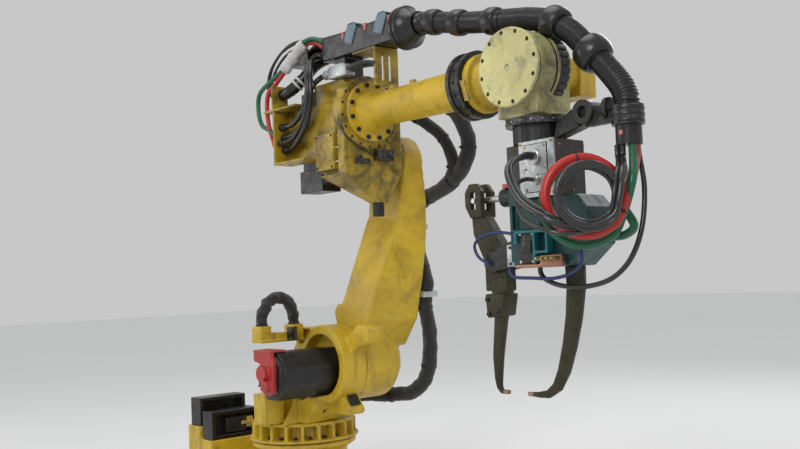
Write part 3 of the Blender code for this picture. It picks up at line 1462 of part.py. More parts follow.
def make_lever(looks, lever, rod):
    """The moving electrode arm with its slotted fork, and the cylinder's rod with the pin in it."""
    reach = ELECTRODE_REACH
    stations = [(x * reach, z * reach, radius * reach) for x, z, radius in LEVER_STATION_SHARES]
    last_x, tip_z, _ = stations[-1]
    tip = drum("X", (0, tip_z), TIP_RADIUS, (last_x - WELD, last_x + TIP_LENGTH), SMALL_SEGMENTS)
    half_x, half_z = HEAD_HALF_LENGTH, HEAD_HALF_HEIGHT
    neck = prism(
        "Y",
        [
            (-LEVER_HUB_RADIUS, -2 * LEVER_HUB_RADIUS),
            (LEVER_HUB_RADIUS, -2 * LEVER_HUB_RADIUS),
            (LEVER_HUB_RADIUS, LEVER_HUB_RADIUS / 2),
            (HEAD_X + half_x - SEAT, HEAD_Z - half_z + WELD),
            (HEAD_X - half_x + OVERRUN, HEAD_Z - half_z / 2),
            (HEAD_X - OVERRUN, HEAD_Z - 2 * half_z),
            (-LEVER_HUB_RADIUS, 0),
        ],
        (-LEVER_HALF_WIDTH, LEVER_HALF_WIDTH),
    )
    outline = [(HEAD_X + x * half_x, HEAD_Z + z * half_z) for x, z in HEAD_SHARES]
    head = prism("Y", outline, (-HEAD_HALF_WIDTH, HEAD_HALF_WIDTH))
    slot = box(
        (HEAD_X - 2 * half_x, HEAD_X + 2 * half_x),
        spread(0, FORK_SLOT_WIDTH),
        (HEAD_Z - ROD_HEAD_RADIUS - OVERRUN, HEAD_Z + 2 * half_z),
    )
    through = spread(0, 3 * HEAD_HALF_WIDTH)
    bore = drum("Y", (0, 0), PIN_RADIUS + PIN_CLEARANCE, through, SMALL_SEGMENTS)
    pin_slot = box(
        spread(HEAD_X, 2 * (ROD_PIN_RADIUS + ROD_PIN_CLEARANCE)),
        through,
        spread(HEAD_Z, 2 * ROD_SLOT_HALF_HEIGHT),
    )
    pieces = [neck, head, swept(stations), tip]
    solid("lever_arm", looks["bronze"], lever, pieces, [slot, bore, pin_slot])

    end = GUN_BODY_REAR - LEVER_X - HEAD_X - OVERRUN
    shaft = drum("X", (0, 0), ROD_RADIUS, (0, end), SMALL_SEGMENTS)
    knuckle = drum("Y", (0, 0), ROD_HEAD_RADIUS, spread(0, ROD_HEAD_WIDTH), SMALL_SEGMENTS)
    eye = drum("Y", (0, 0), ROD_PIN_RADIUS + SEAT, spread(0, 2 * ROD_HEAD_WIDTH), SMALL_SEGMENTS)
    solid("gun_rod", looks["steel"], rod, [shaft, knuckle], [eye])
    pin = drum("Y", (0, 0), ROD_PIN_RADIUS, spread(0, 2 * HEAD_HALF_WIDTH), SMALL_SEGMENTS)
    solid("rod_pin", looks["steel"], rod, [pin])


def make_sleeves(looks, column, arm, elbow):
    """The cables' sleeves past the shoulder, along the lower arm and past the elbow, and their clamps."""
    face = ARM_OUTER_FACE + SEAT
    middle = face + SLEEVE_BEDDING + SLEEVE_RADIUS_ARM
    for name, x, height in (
        ("arm_clamp_low", ARM_CLAMP_LOW_X, ARM_CLAMP_LOW),
        ("arm_clamp_top", ARM_CLAMP_TOP_X, ARM_CLAMP_TOP),
    ):
        clamp = box(
            spread(x, ARM_CLAMP_LENGTH),
            (face, middle + SLEEVE_RADIUS_ARM + SLEEVE_BEDDING),
            spread(height, ARM_CLAMP_HEIGHT),
        )
        solid(name, looks["plate"], arm, [clamp])
    low = ARM_CLAMP_LOW + ARM_CLAMP_HEIGHT / 2 + SEAT
    high = ARM_CLAMP_TOP - ARM_CLAMP_HEIGHT / 2 - SEAT
    route = [
        (ARM_CLAMP_LOW_X, middle, low),
        (ARM_CLAMP_LOW_X, middle, low + SLEEVE_RADIUS_ARM),
        (ARM_CLAMP_TOP_X, middle, high - SLEEVE_RADIUS_ARM),
        (ARM_CLAMP_TOP_X, middle, high),
    ]
    hose("arm_sleeve", looks["rubber"], arm, route, SLEEVE_RADIUS_ARM, 3)

    route = [
        (0.5640, 0.4313, 1.0056),
        (0.5565, 0.4313, 0.9663),
        (0.5780, 0.438, 0.832),
        (0.5690, 0.446, 0.684),
        (0.5200, 0.448, 0.555),
        (0.4250, 0.430, 0.480),
        (0.2950, 0.385, 0.462),
        (0.1750, 0.310, 0.465),
        (0.0850, 0.215, 0.460),
        (0.0540, 0.165, 0.415),
        (0.0540, 0.165, 0.3664),
    ]
    hose("shoulder_sleeve", looks["rubber"], column, route, SLEEVE_RADIUS_ARM)

    port = box(
        (CASING_REAR + CASING_BROW, CASING_FRONT - OVERRUN),
        (CASING_FAR + SEAT, CASING_FAR + PORT_DEPTH),
        (PORT_LOW, PORT_LOW + PORT_HEIGHT),
    )
    solid("elbow_port", looks["steel"], elbow, [port])
    outer = [
        (0.1453, 0.300, 0.330),
        (0.1900, 0.300, 0.330),
        (0.3200, 0.335, 0.300),
        (0.4150, 0.375, 0.215),
        (0.4600, 0.400, 0.100),
        (0.4450, 0.415, 0.000),
        (0.3700, 0.425, -0.085),
        (0.2600, 0.432, -0.145),
        (0.1500, 0.432, -0.180),
        (0.0750, 0.432, -0.205),
        (0.0280, 0.432, -0.242),
        (0.0091, 0.4313, -0.2859),
        (0.0021, 0.4313, -0.3250),
    ]
    hose("elbow_sleeve", looks["rubber"], elbow, outer, SLEEVE_RADIUS_ARM)


def make_casing_hoses(looks, elbow):
    """Cables from the wall's flange up to the trough, and the elbow hose on its shelf."""
    bundle = [
        (-0.3506, -0.172, 0.150),
        (-0.3200, -0.172, 0.150),
        (-0.2300, -0.178, 0.165),
        (-0.1300, -0.186, 0.235),
        (-0.0800, -0.190, 0.340),
        (-0.0900, -0.180, 0.440),
        (-0.1350, -0.140, 0.520),
        (-0.1450, -0.080, 0.562),
        (-0.0950, -0.051, 0.566),
        (0.0500, -0.0515, 0.565),
        (0.4500, -0.0515, 0.565),
        (0.4790, -0.0515, 0.565),
    ]
    hose("casing_cables", looks["rubber"], elbow, bundle, CABLE_BUNDLE_RADIUS)
    arc = [
        (-0.3574, -0.170, 0.385),
        (-0.3300, -0.170, 0.385),
        (-0.2700, -0.160, 0.405),
        (-0.2200, -0.120, 0.460),
        (-0.1950, -0.060, 0.530),
        (-0.1600, -0.005, 0.565),
        (-0.0800, 0.0090, 0.567),
        (0.0500, 0.0090, 0.567),
        (0.4500, 0.0090, 0.567),
        (0.4790, 0.0090, 0.567),
    ]
    hose("shelf_hose", looks["rubber"], elbow, arc, SHELF_HOSE_RADIUS)


def make_conduit(looks, elbow, forearm, wrist):
    """The corrugated conduit from the bell, over the wrist and down to its clamp, in three stretches."""
    rear = [
        (0.6006, -0.020, 0.580),
        (0.6300, -0.020, 0.580),
        (0.7600, -0.013, 0.550),
        (0.8900, -0.004, 0.520),
        (1.0000, 0.000, 0.4993),
        (1.1200, 0.000, 0.4780),
    ]
    hose("conduit_rear", looks["black"], elbow, rear, CONDUIT_RADIUS)
    middle = [
        (1.1203, 0.000, 0.25295),
        (1.2400, 0.000, 0.2317),
        (1.3800, 0.000, 0.1890),
        (1.4900, 0.000, 0.1150),
        (1.5600, 0.000, 0.0400),
    ]
    hose("conduit_middle", looks["black"], forearm, middle, CONDUIT_RADIUS)
    front = [
        (0.2806, 0.000, 0.03735),
        (0.3360, 0.000, -0.0230),
        (0.3880, 0.000, -0.0840),
        (0.4290, 0.000, -0.1400),
        (CLAMP_X, 0.000, -0.1930),
        (CLAMP_X, 0.000, CLAMP_Z + CLAMP_HEIGHT / 2 - FLANGE_DROP + SEAT),
    ]
    hose("conduit_front", looks["black"], wrist, front, CONDUIT_RADIUS)


def hose_loop(size, turn, steps, start_offset, end_offset):
    """The turn of a hose beside the gun, which moves away from the body as it goes round."""
    centre = Vector((LOOP_X, LOOP_Y, LOOP_Z))
    right = Vector((math.cos(LOOP_HEADING), math.sin(LOOP_HEADING), 0))
    toward = Vector((math.sin(LOOP_HEADING), -math.cos(LOOP_HEADING), 0))
    points = []
    for step in range(steps + 1):
        angle = LOOP_START - turn * step / steps
        out = size * (right * math.cos(angle) + Vector((0, 0, 1)) * math.sin(angle))
        offset = start_offset + (end_offset - start_offset) * step / steps
        points.append(tuple(centre + out + toward * offset))
    return points


def make_gun_hoses(looks, tool):
    """The hoses that loop at the gun's near corner: the red to the body, the grey to the panel."""
    start = CLAMP_Z - CLAMP_HEIGHT / 2 - CLAMP_TAIL - SEAT
    red = [
        (0.459, 0.022, start),
        (0.459, 0.022, start - HOSE_RUN),
        (0.490, -0.055, -0.285),
        *hose_loop(RED_LOOP_RADIUS, RED_LOOP_TURN, RED_LOOP_STEPS, RED_LOOP_START, RED_LOOP_END),
        (0.430, -0.040, -0.415),
        (0.385, -0.032, -0.443),
        (0.345, -0.030, -0.445),
        (GUN_BODY_FRONT + SEAT, -0.030, -0.445),
    ]
    hose("gun_red_hose", looks["red_hose"], tool, red, RED_HOSE_RADIUS)

    bottom = GUN_TOP - TRANSFORMER_HEIGHT
    socket_x = (TRANSFORMER_REAR + TRANSFORMER_FRONT) / 2
    socket_z = bottom + PANEL_SOCKET_SHARES[0][0] * TRANSFORMER_HEIGHT
    grey = [
        (0.437, -0.030, start),
        (0.437, -0.030, start - HOSE_RUN),
        (0.480, -0.090, -0.235),
        (0.505, -0.135, -0.285),
        (0.510, -0.160, -0.350),
        *hose_loop(GREY_LOOP_RADIUS, GREY_LOOP_TURN, GREY_LOOP_STEPS, GREY_LOOP_START, GREY_LOOP_END),
        (0.370, -0.303, -0.456),
        (0.3026, -0.345, -0.4175),
        (0.1786, -0.330, -0.345),
        (0.088, -0.290, -0.240),
        (0.0624, -0.235, -0.182),
        (socket_x, -0.190, socket_z),
        (socket_x, TRANSFORMER_NEAR - PANEL_SOCKET_LENGTH - SEAT, socket_z),
    ]
    hose("gun_grey_hose", looks["rubber"], tool, grey, HOSE_RADIUS)


def main():
    clear_scene()
    looks = make_finishes()
    floor = pivot("floor")
    column = pivot("column_pivot", floor)
    arm = pivot("arm_pivot", column, (SHOULDER_REACH, 0, SHOULDER_HEIGHT), LOWER_ARM_LEAN)
    elbow = pivot("elbow_pivot", arm, (0, 0, LOWER_ARM_LENGTH), FOREARM_DROOP - LOWER_ARM_LEAN)
    forearm = pivot("forearm_pivot", elbow, (0, 0, ROLL_AXIS_RISE))
    wrist = pivot("wrist_pivot", forearm, (FOREARM_LENGTH, 0, 0), -FOREARM_DROOP)
    tool = pivot("tool_pivot", wrist, (0, 0, -FLANGE_DROP))
    lever = pivot("lever_pivot", tool, (LEVER_X, 0, -LEVER_DROP))
    rod = pivot("rod_pivot", tool, (LEVER_X + HEAD_X, 0, HEAD_Z - LEVER_DROP))
    make_base(looks, floor)
    make_turntable(looks, column)
    make_column(looks, column)
    make_shoulder_motor(looks, column)
    make_terminals(looks, column)
    make_lower_arm(looks, arm)
    make_casing(looks, elbow)
    make_casing_rear(looks, elbow)
    make_trough(looks, elbow)
    make_sleeves(looks, column, arm, elbow)
    make_casing_hoses(looks, elbow)
    make_forearm(looks, forearm)
    make_wrist(looks, wrist)
    make_tool_mount(looks, tool)
    make_gun(looks, tool)
    make_gun_frame(looks, tool)
    make_fixed_arm(looks, tool)
    make_lever(looks, lever, rod)
    make_conduit(looks, elbow, forearm, wrist)
    make_gun_hoses(looks, tool)


main()
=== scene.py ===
"""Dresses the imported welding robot: stage, castings, fasteners, hoses and the weld gun's fittings.

The CAD model is the frame. Each piece is modelled in the place of the body that carries it, in metres.
"""

import json
import math

import bmesh
import bpy
from bpy.props import FloatProperty, FloatVectorProperty, IntProperty, PointerProperty
from mathutils import Matrix, Vector, noise

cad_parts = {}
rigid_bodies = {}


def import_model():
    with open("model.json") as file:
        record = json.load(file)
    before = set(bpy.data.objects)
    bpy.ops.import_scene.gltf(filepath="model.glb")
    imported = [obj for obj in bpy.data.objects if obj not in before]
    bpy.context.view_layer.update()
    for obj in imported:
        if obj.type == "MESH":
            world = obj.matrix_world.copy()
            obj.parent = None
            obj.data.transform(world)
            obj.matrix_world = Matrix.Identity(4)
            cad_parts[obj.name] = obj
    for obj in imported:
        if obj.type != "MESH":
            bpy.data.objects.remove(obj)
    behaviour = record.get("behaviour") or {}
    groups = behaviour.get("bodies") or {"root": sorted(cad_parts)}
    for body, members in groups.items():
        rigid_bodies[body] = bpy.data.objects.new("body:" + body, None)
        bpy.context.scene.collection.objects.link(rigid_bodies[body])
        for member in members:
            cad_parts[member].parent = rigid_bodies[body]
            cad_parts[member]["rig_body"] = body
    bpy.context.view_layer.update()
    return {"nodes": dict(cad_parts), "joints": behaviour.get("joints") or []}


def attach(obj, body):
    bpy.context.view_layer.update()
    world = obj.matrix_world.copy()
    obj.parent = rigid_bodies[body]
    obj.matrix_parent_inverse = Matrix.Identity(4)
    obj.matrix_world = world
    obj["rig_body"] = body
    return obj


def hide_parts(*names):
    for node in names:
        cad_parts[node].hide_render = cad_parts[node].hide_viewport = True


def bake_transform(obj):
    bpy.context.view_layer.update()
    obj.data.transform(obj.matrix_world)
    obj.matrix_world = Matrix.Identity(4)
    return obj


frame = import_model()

bl_info = {
    "name": "Welding Robot Dressing",
    "version": (1, 0, 0),
    "blender": (4, 5, 0),
    "location": "View3D > Sidebar > Robot",
    "description": "Makes the looks of a six-axis welding robot round its CAD frame",
    "category": "Object",
}

# The photograph's camera
CAMERA_PLACE = (4.35435, -2.95513, 1.10718)
CAMERA_YAW = math.radians(49.552)
CAMERA_PITCH = math.radians(3.249)
CAMERA_ROLL = math.radians(-2.3954)
CAMERA_LENS = 42.187
CAMERA_SENSOR = 36.0

# Turns between the bodies' own directions at rest
LEAN = math.radians(10.75)
DROOP = math.radians(0.48)
FLANGE_DROP = 0.215
LEVER_PIN = (-0.251, 0, -0.568)
ROD_PIN = (-0.355, 0, -0.295)

HOSE_GRAIN = 0.008
BEVEL_ANGLE = math.radians(30)
SHARP_ANGLE = math.radians(30)


def placed(origin, turn=0.0):
    return Matrix.Translation(origin) @ Matrix.Rotation(turn, 4, "Y")


def body_places():
    """The frame that each body's pieces are modelled in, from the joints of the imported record."""
    at = {joint["name"]: Vector(joint["pos_m"]) for joint in frame["joints"] if "pos_m" in joint}
    places = {"base": Matrix.Identity(4), "column": Matrix.Identity(4)}
    places["arm"] = placed(at["arm_tilt"], LEAN)
    places["elbow"] = placed(at["elbow_tilt"], DROOP)
    places["forearm"] = placed(at["forearm_roll"], DROOP)
    places["wrist"] = placed(at["wrist_bend"])
    places["tool"] = placed(at["wrist_bend"] - Vector((0, 0, FLANGE_DROP)))
    places["lever"] = places["tool"] @ placed(LEVER_PIN)
    places["rod"] = places["tool"] @ placed(ROD_PIN)
    return places


PLACES = body_places()


# Mesh helpers


def put(axis, along, first, second):
    """A point from its place along an axis and its two places across it, in the order X, Y, Z."""
    across = [first, second]
    across.insert("XYZ".index(axis), along)
    return Vector(across)


def loft(rings, closed=True):
    """A skin through rings that hold the same number of points, with its ends filled."""
    made = bmesh.new()
    rows = [[made.verts.new(point) for point in ring] for ring in rings]
    for lower, upper in zip(rows, rows[1:]):
        for index in range(len(lower)):
            after = (index + 1) % len(lower)
            made.faces.new((lower[index], lower[after], upper[after], upper[index]))
    if closed:
        made.faces.new(rows[0])
        made.faces.new(rows[-1])
    else:
        for index in range(len(rows[0])):
            after = (index + 1) % len(rows[0])
            made.faces.new((rows[-1][index], rows[-1][after], rows[0][after], rows[0][index]))
    return made


def prism(axis, outline, span):
    return loft([[put(axis, along, *point) for point in outline] for along in span])


def turned(axis, centre, profile, segments=48, closed=True):
    """A solid of revolution from (place along the axis, radius) pairs, or a ring where closed is false."""
    rings = []
    for along, radius in profile:
        ring = []
        for step in range(segments):
            angle = math.tau * step / segments
            first = centre[0] + radius * math.cos(angle)
            ring.append(put(axis, along, first, centre[1] + radius * math.sin(angle)))
        rings.append(ring)
    return loft(rings, closed)


def drum(axis, centre, radius, span, segments=32):
    return turned(axis, centre, [(span[0], radius), (span[1], radius)], segments)


def box(x, y, z):
    made = bmesh.new()
    bmesh.ops.create_cube(made, size=1)
    for vert in made.verts:
        for axis, (low, high) in enumerate((x, y, z)):
            vert.co[axis] = low if vert.co[axis] < 0 else high
    return made


def spread(middle, size):
    return (middle - size / 2, middle + size / 2)


def joined(shapes):
    """One bmesh from several, each of which is freed."""
    made = bmesh.new()
    for shape in shapes:
        mesh = bpy.data.meshes.new("part")
        shape.to_mesh(mesh)
        shape.free()
        made.from_mesh(mesh)
        bpy.data.meshes.remove(mesh)
    return made


def smooth_route(route, steps=6):
    """Points on a smooth curve through the route's own, straight at both ends so that they sit square."""
    points = [Vector(point) for point in route]
    curve = [points[0]]
    for before, start, end, after in zip(points, points[1:], points[2:], points[3:]):
        for step in range(steps):
            t = step / steps
            curve.append(
                0.5
                * (
                    2 * start
                    + (end - before) * t
                    + (2 * before - 5 * start + 4 * end - after) * t**2
                    + (3 * start - before - 3 * end + after) * t**3
                )
            )
    return [*curve, points[-2], points[-1]]


def run_length(points):
    return sum((b - a).length for a, b in zip(points, points[1:]))


def resampled(points, spacing):
    """The same line with points at an even spacing."""
    count = max(2, round(run_length(points) / spacing))
    step = run_length(points) / count
    made = [points[0].copy()]
    travelled = 0.0
    for a, b in zip(points, points[1:]):
        length = (b - a).length
        while len(made) * step <= travelled + length + 1e-9 and len(made) <= count:
            made.append(a.lerp(b, min(1.0, (len(made) * step - travelled) / max(length, 1e-9))))
        travelled += length
    if len(made) <= count:
        made.append(points[-1].copy())
    return made


def laid(route, spacing=HOSE_GRAIN, steps=8):
    """The evenly spaced centre line of a hose or cable along its route."""
    return resampled(smooth_route(route, steps), spacing)


def tube(points, radius, sides=14, shape=None):
    """A tube round a line of points. Its UV map is in metres: round the tube, and along it."""
    made = bmesh.new()
    layer = made.loops.layers.uv.new("UVMap")
    tangents = []
    for index in range(len(points)):
        ahead = points[min(index + 1, len(points) - 1)] - points[max(index - 1, 0)]
        tangents.append(ahead.normalized())
    across = tangents[0].orthogonal().normalized()
    rows, lengths, travelled = [], [], 0.0
    for index, point in enumerate(points):
        if index:
            travelled += (point - points[index - 1]).length
            across = (across - tangents[index] * across.dot(tangents[index])).normalized()
        other = tangents[index].cross(across)
        ring = []
        for step in range(sides):
            angle = math.tau * step / sides
            size = radius if shape is None else radius * shape(travelled, angle)
            ring.append(made.verts.new(point + size * (across * math.cos(angle) + other * math.sin(angle))))
        rows.append(ring)
        lengths.append(travelled)
    for row in range(len(rows) - 1):
        for step in range(sides):
            after = (step + 1) % sides
            face = made.faces.new(
                (rows[row][step], rows[row][after], rows[row + 1][after], rows[row + 1][step]),
            )
            turn = math.tau * radius / sides
            corners = ((step, row), (step + 1, row), (step + 1, row + 1), (step, row + 1))
            for loop, (around, along) in zip(face.loops, corners):
                loop[layer].uv = (around * turn, lengths[along])
    made.faces.new(rows[0])
    made.faces.new(rows[-1])
    return made


def wrinkles(depth, pitch, seed):
    """Swells and folds along a fabric sleeve, for a tube's shape."""

    def shape(along, angle):
        at = Vector((math.cos(angle) * 0.8, math.sin(angle) * 0.8, along / pitch)) + Vector((seed, seed, 0))
        return 1 - depth * (0.5 + 0.9 * noise.noise(at) + 0.35 * noise.noise(at * 2.6))

    return shape


def gathered(length, pinch):
    """A loose fabric arch that is cinched at both ends, for a tube's shape."""
    folds = wrinkles(0.3, 0.03, 2)

    def shape(along, angle):
        middle = math.sin(math.pi * min(1.0, max(0.0, along / length))) ** 0.4
        return (1.18 - pinch * (1 - middle)) * folds(along, angle)

    return shape


def bake(obj):
    """The object's modifiers become its mesh."""
    graph = bpy.context.evaluated_depsgraph_get()
    mesh = bpy.data.meshes.new_from_object(obj.evaluated_get(graph))
    obj.modifiers.clear()
    obj.data = mesh
    return obj


def link(name, mesh, look=None):
    made = bpy.data.objects.new(name, mesh)
    bpy.context.scene.collection.objects.link(made)
    if look is not None:
        made.data.materials.clear()
        made.data.materials.append(look)
    return made


def piece(name, shape, body, look, stands_for=(), bevel=0.0, sharp=35, ride=True, carrier=None):
    """One piece of the object, modelled in its body's frame: bevelled, put in place, and set to ride."""
    bmesh.ops.recalc_face_normals(shape, faces=shape.faces)
    mesh = bpy.data.meshes.new(name)
    shape.to_mesh(mesh)
    shape.free()
    mesh.transform(PLACES[carrier or body])
    made = link(name, mesh, LOOKS[look])
    if bevel:
        modifier = made.modifiers.new("Edges", "BEVEL")
        modifier.width = bevel
        modifier.segments = 2
        modifier.limit_method = "ANGLE"
        modifier.angle_limit = BEVEL_ANGLE
        modifier.use_clamp_overlap = True
        bake(made)
    made.data.shade_smooth()
    made.data.set_sharp_from_angle(angle=math.radians(sharp))
    if stands_for:
        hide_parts(*stands_for)
    if ride:
        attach(made, body)
    return made


# Materials

LOOKS = {}


class Graph:
    """Short calls for one material's nodes."""

    def __init__(self, name):
        self.material = bpy.data.materials.new(name)
        self.material.use_nodes = True
        self.tree = self.material.node_tree
        self.shader = self.tree.nodes["Principled BSDF"]
        coordinates = self.tree.nodes.new("ShaderNodeTexCoord")
        self.place = coordinates.outputs["Object"]
        self.uv = coordinates.outputs["UV"]

    def node(self, kind, inputs, **settings):
        made = self.tree.nodes.new(kind)
        for key, value in settings.items():
            setattr(made, key, value)
        for key, value in inputs.items():
            if isinstance(value, bpy.types.NodeSocket):
                self.tree.links.new(value, made.inputs[key])
            elif value is not None:
                made.inputs[key].default_value = value
        return made

    def moved(self, scale, source=None):
        """The coordinates, stretched."""
        return self.node(
            "ShaderNodeMapping", {"Vector": source or self.place, "Scale": scale},
        ).outputs["Vector"]

    def noise(self, scale, detail=4.0, roughness=0.6, vector=None, warp=0.0):
        inputs = {"Vector": vector or self.place, "Scale": scale, "Detail": detail, "Roughness": roughness}
        return self.node("ShaderNodeTexNoise", {**inputs, "Distortion": warp}).outputs["Fac"]

    def span(self, value, low, high, to_low=0.0, to_high=1.0):
        inputs = {"Value": value, "From Min": low, "From Max": high, "To Min": to_low, "To Max": to_high}
        return self.node("ShaderNodeMapRange", inputs, interpolation_type="SMOOTHSTEP").outputs["Result"]

    def math(self, operation, first, second=None):
        return self.node("ShaderNodeMath", {0: first, 1: second}, operation=operation).outputs[0]

    def mix(self, factor, first, second):
        inputs = {0: factor}
        for key, value in ((6, first), (7, second)):
            inputs[key] = value if isinstance(value, bpy.types.NodeSocket) else (*value, 1.0)
        return self.node("ShaderNodeMix", inputs, data_type="RGBA").outputs[2]

    def bump(self, height, distance, strength=0.6, normal=None):
        inputs = {"Height": height, "Distance": distance, "Strength": strength, "Normal": normal}
        return self.node("ShaderNodeBump", inputs).outputs["Normal"]

    def join(self, **sockets):
        for key, value in sockets.items():
            key = key.replace("_", " ").title()
            target = self.shader.inputs[key]
            if isinstance(value, bpy.types.NodeSocket):
                self.tree.links.new(value, target)
            else:
                target.default_value = (*value, 1.0) if isinstance(value, tuple) else value
        return self.material


def shade(colour, share):
    return tuple(share * part for part in colour)


def enamel(name, colour, grime, edge_colour, rough=0.42, dirt=0.5, edge_strength=0.7, runs=0.35, cover=0.5):
    """Worn industrial paint: uneven tone, greasy grime, runs, and an edge colour along its convex edges,
    which is exposed metal where the paint is worn and, for the teal looks, a brighter teal that is a painted
    highlight.
    """
    g = Graph(name)
    tone = g.span(g.noise(2.6, 5), 0.35, 0.68)
    paint = g.mix(tone, colour, shade(colour, 0.78))
    soil = g.span(g.noise(7.5, 12, 0.72, warp=0.4), cover, cover + 0.24, 0.0, dirt)
    paint = g.mix(soil, paint, grime)
    trails = g.span(g.noise(1.0, 5, 0.6, g.moved((16, 16, 1.4))), 0.54, 0.78, 0.0, runs)
    paint = g.mix(trails, paint, grime)
    specks = g.span(g.noise(95, 3, 0.5), 0.68, 0.73, 0.0, 0.8)
    paint = g.mix(specks, paint, shade(grime, 0.5))
    # Convex edges take the edge colour: exposed metal where the paint is worn, and for the teal looks a
    # painted highlight.
    edge = g.node("ShaderNodeNewGeometry", {}).outputs["Pointiness"]
    edge = g.span(edge, 0.515, 0.56)
    edge_wear_and_highlight = g.math("MULTIPLY", edge, g.span(g.noise(38, 6, 0.7), 0.46, 0.6, 0.0, edge_strength))
    paint = g.mix(edge_wear_and_highlight, paint, edge_colour)
    rougher = g.span(g.noise(14, 6, 0.65), 0.3, 0.75, rough - 0.1, rough + 0.2)
    grain = g.math("ADD", g.noise(240, 2, 0.5), g.math("MULTIPLY", g.noise(30, 5, 0.6), 1.5))
    grain = g.math("SUBTRACT", grain, edge_wear_and_highlight)
    return g.join(base_color=paint, roughness=rougher, normal=g.bump(grain, 0.0006, 0.35))


def metal(name, colour, stain, rough=0.34, metallic=0.9, brushed=(1, 1, 1)):
    """Bare or plated metal with stains, scratches and an uneven gloss."""
    g = Graph(name)
    tone = g.span(g.noise(5, 6), 0.35, 0.7)
    face = g.mix(tone, colour, shade(colour, 0.72))
    soil = g.span(g.noise(16, 10, 0.72), 0.52, 0.72, 0.0, 0.65)
    face = g.mix(soil, face, stain)
    lines = g.noise(60, 4, 0.6, g.moved(brushed))
    rougher = g.span(lines, 0.3, 0.7, rough - 0.12, rough + 0.18)
    return g.join(
        base_color=face, metallic=metallic, roughness=rougher, normal=g.bump(lines, 0.0002, 0.15)
    )


def elastomer(name, colour, dust, rough=0.38, dirt=0.4, coat=0.0):
    """Rubber, moulded plastic or hose sheath, with scuffs and a little dust."""
    g = Graph(name)
    dusty = g.span(g.noise(11, 9, 0.7), 0.48, 0.75, 0.0, dirt)
    face = g.mix(dusty, colour, dust)
    scuffs = g.span(g.noise(55, 5, 0.6, g.moved((1, 1, 3))), 0.62, 0.75, 0.0, 0.5)
    face = g.mix(scuffs, face, dust)
    rougher = g.span(g.noise(22, 6), 0.3, 0.75, rough - 0.08, rough + 0.22)
    return g.join(
        base_color=face, roughness=rougher, coat_weight=coat, normal=g.bump(g.noise(160, 3), 0.0004, 0.3)
    )


def weave(name, colour, dust, pitch=0.0028):
    """A woven sleeve: crossed threads from the piece's own UV map, with an even sheen."""
    g = Graph(name)
    threads = g.moved((1 / pitch, 1 / pitch, 1), g.uv)
    warp = g.node("ShaderNodeTexWave", {"Vector": threads, "Scale": 0.5}, bands_direction="X").outputs["Fac"]
    weft = g.node("ShaderNodeTexWave", {"Vector": threads, "Scale": 0.5}, bands_direction="Y").outputs["Fac"]
    cloth = g.math("MULTIPLY", warp, weft)
    face = g.mix(g.span(cloth, 0.1, 0.8), shade(colour, 0.55), colour)
    dusty = g.span(g.noise(9, 9, 0.72), 0.47, 0.72, 0.0, 0.55)
    face = g.mix(dusty, face, dust)
    height = g.math("ADD", cloth, g.math("MULTIPLY", g.noise(26, 6), 2.0))
    return g.join(base_color=face, roughness=0.78, sheen_weight=0.25, normal=g.bump(height, 0.0012, 0.7))


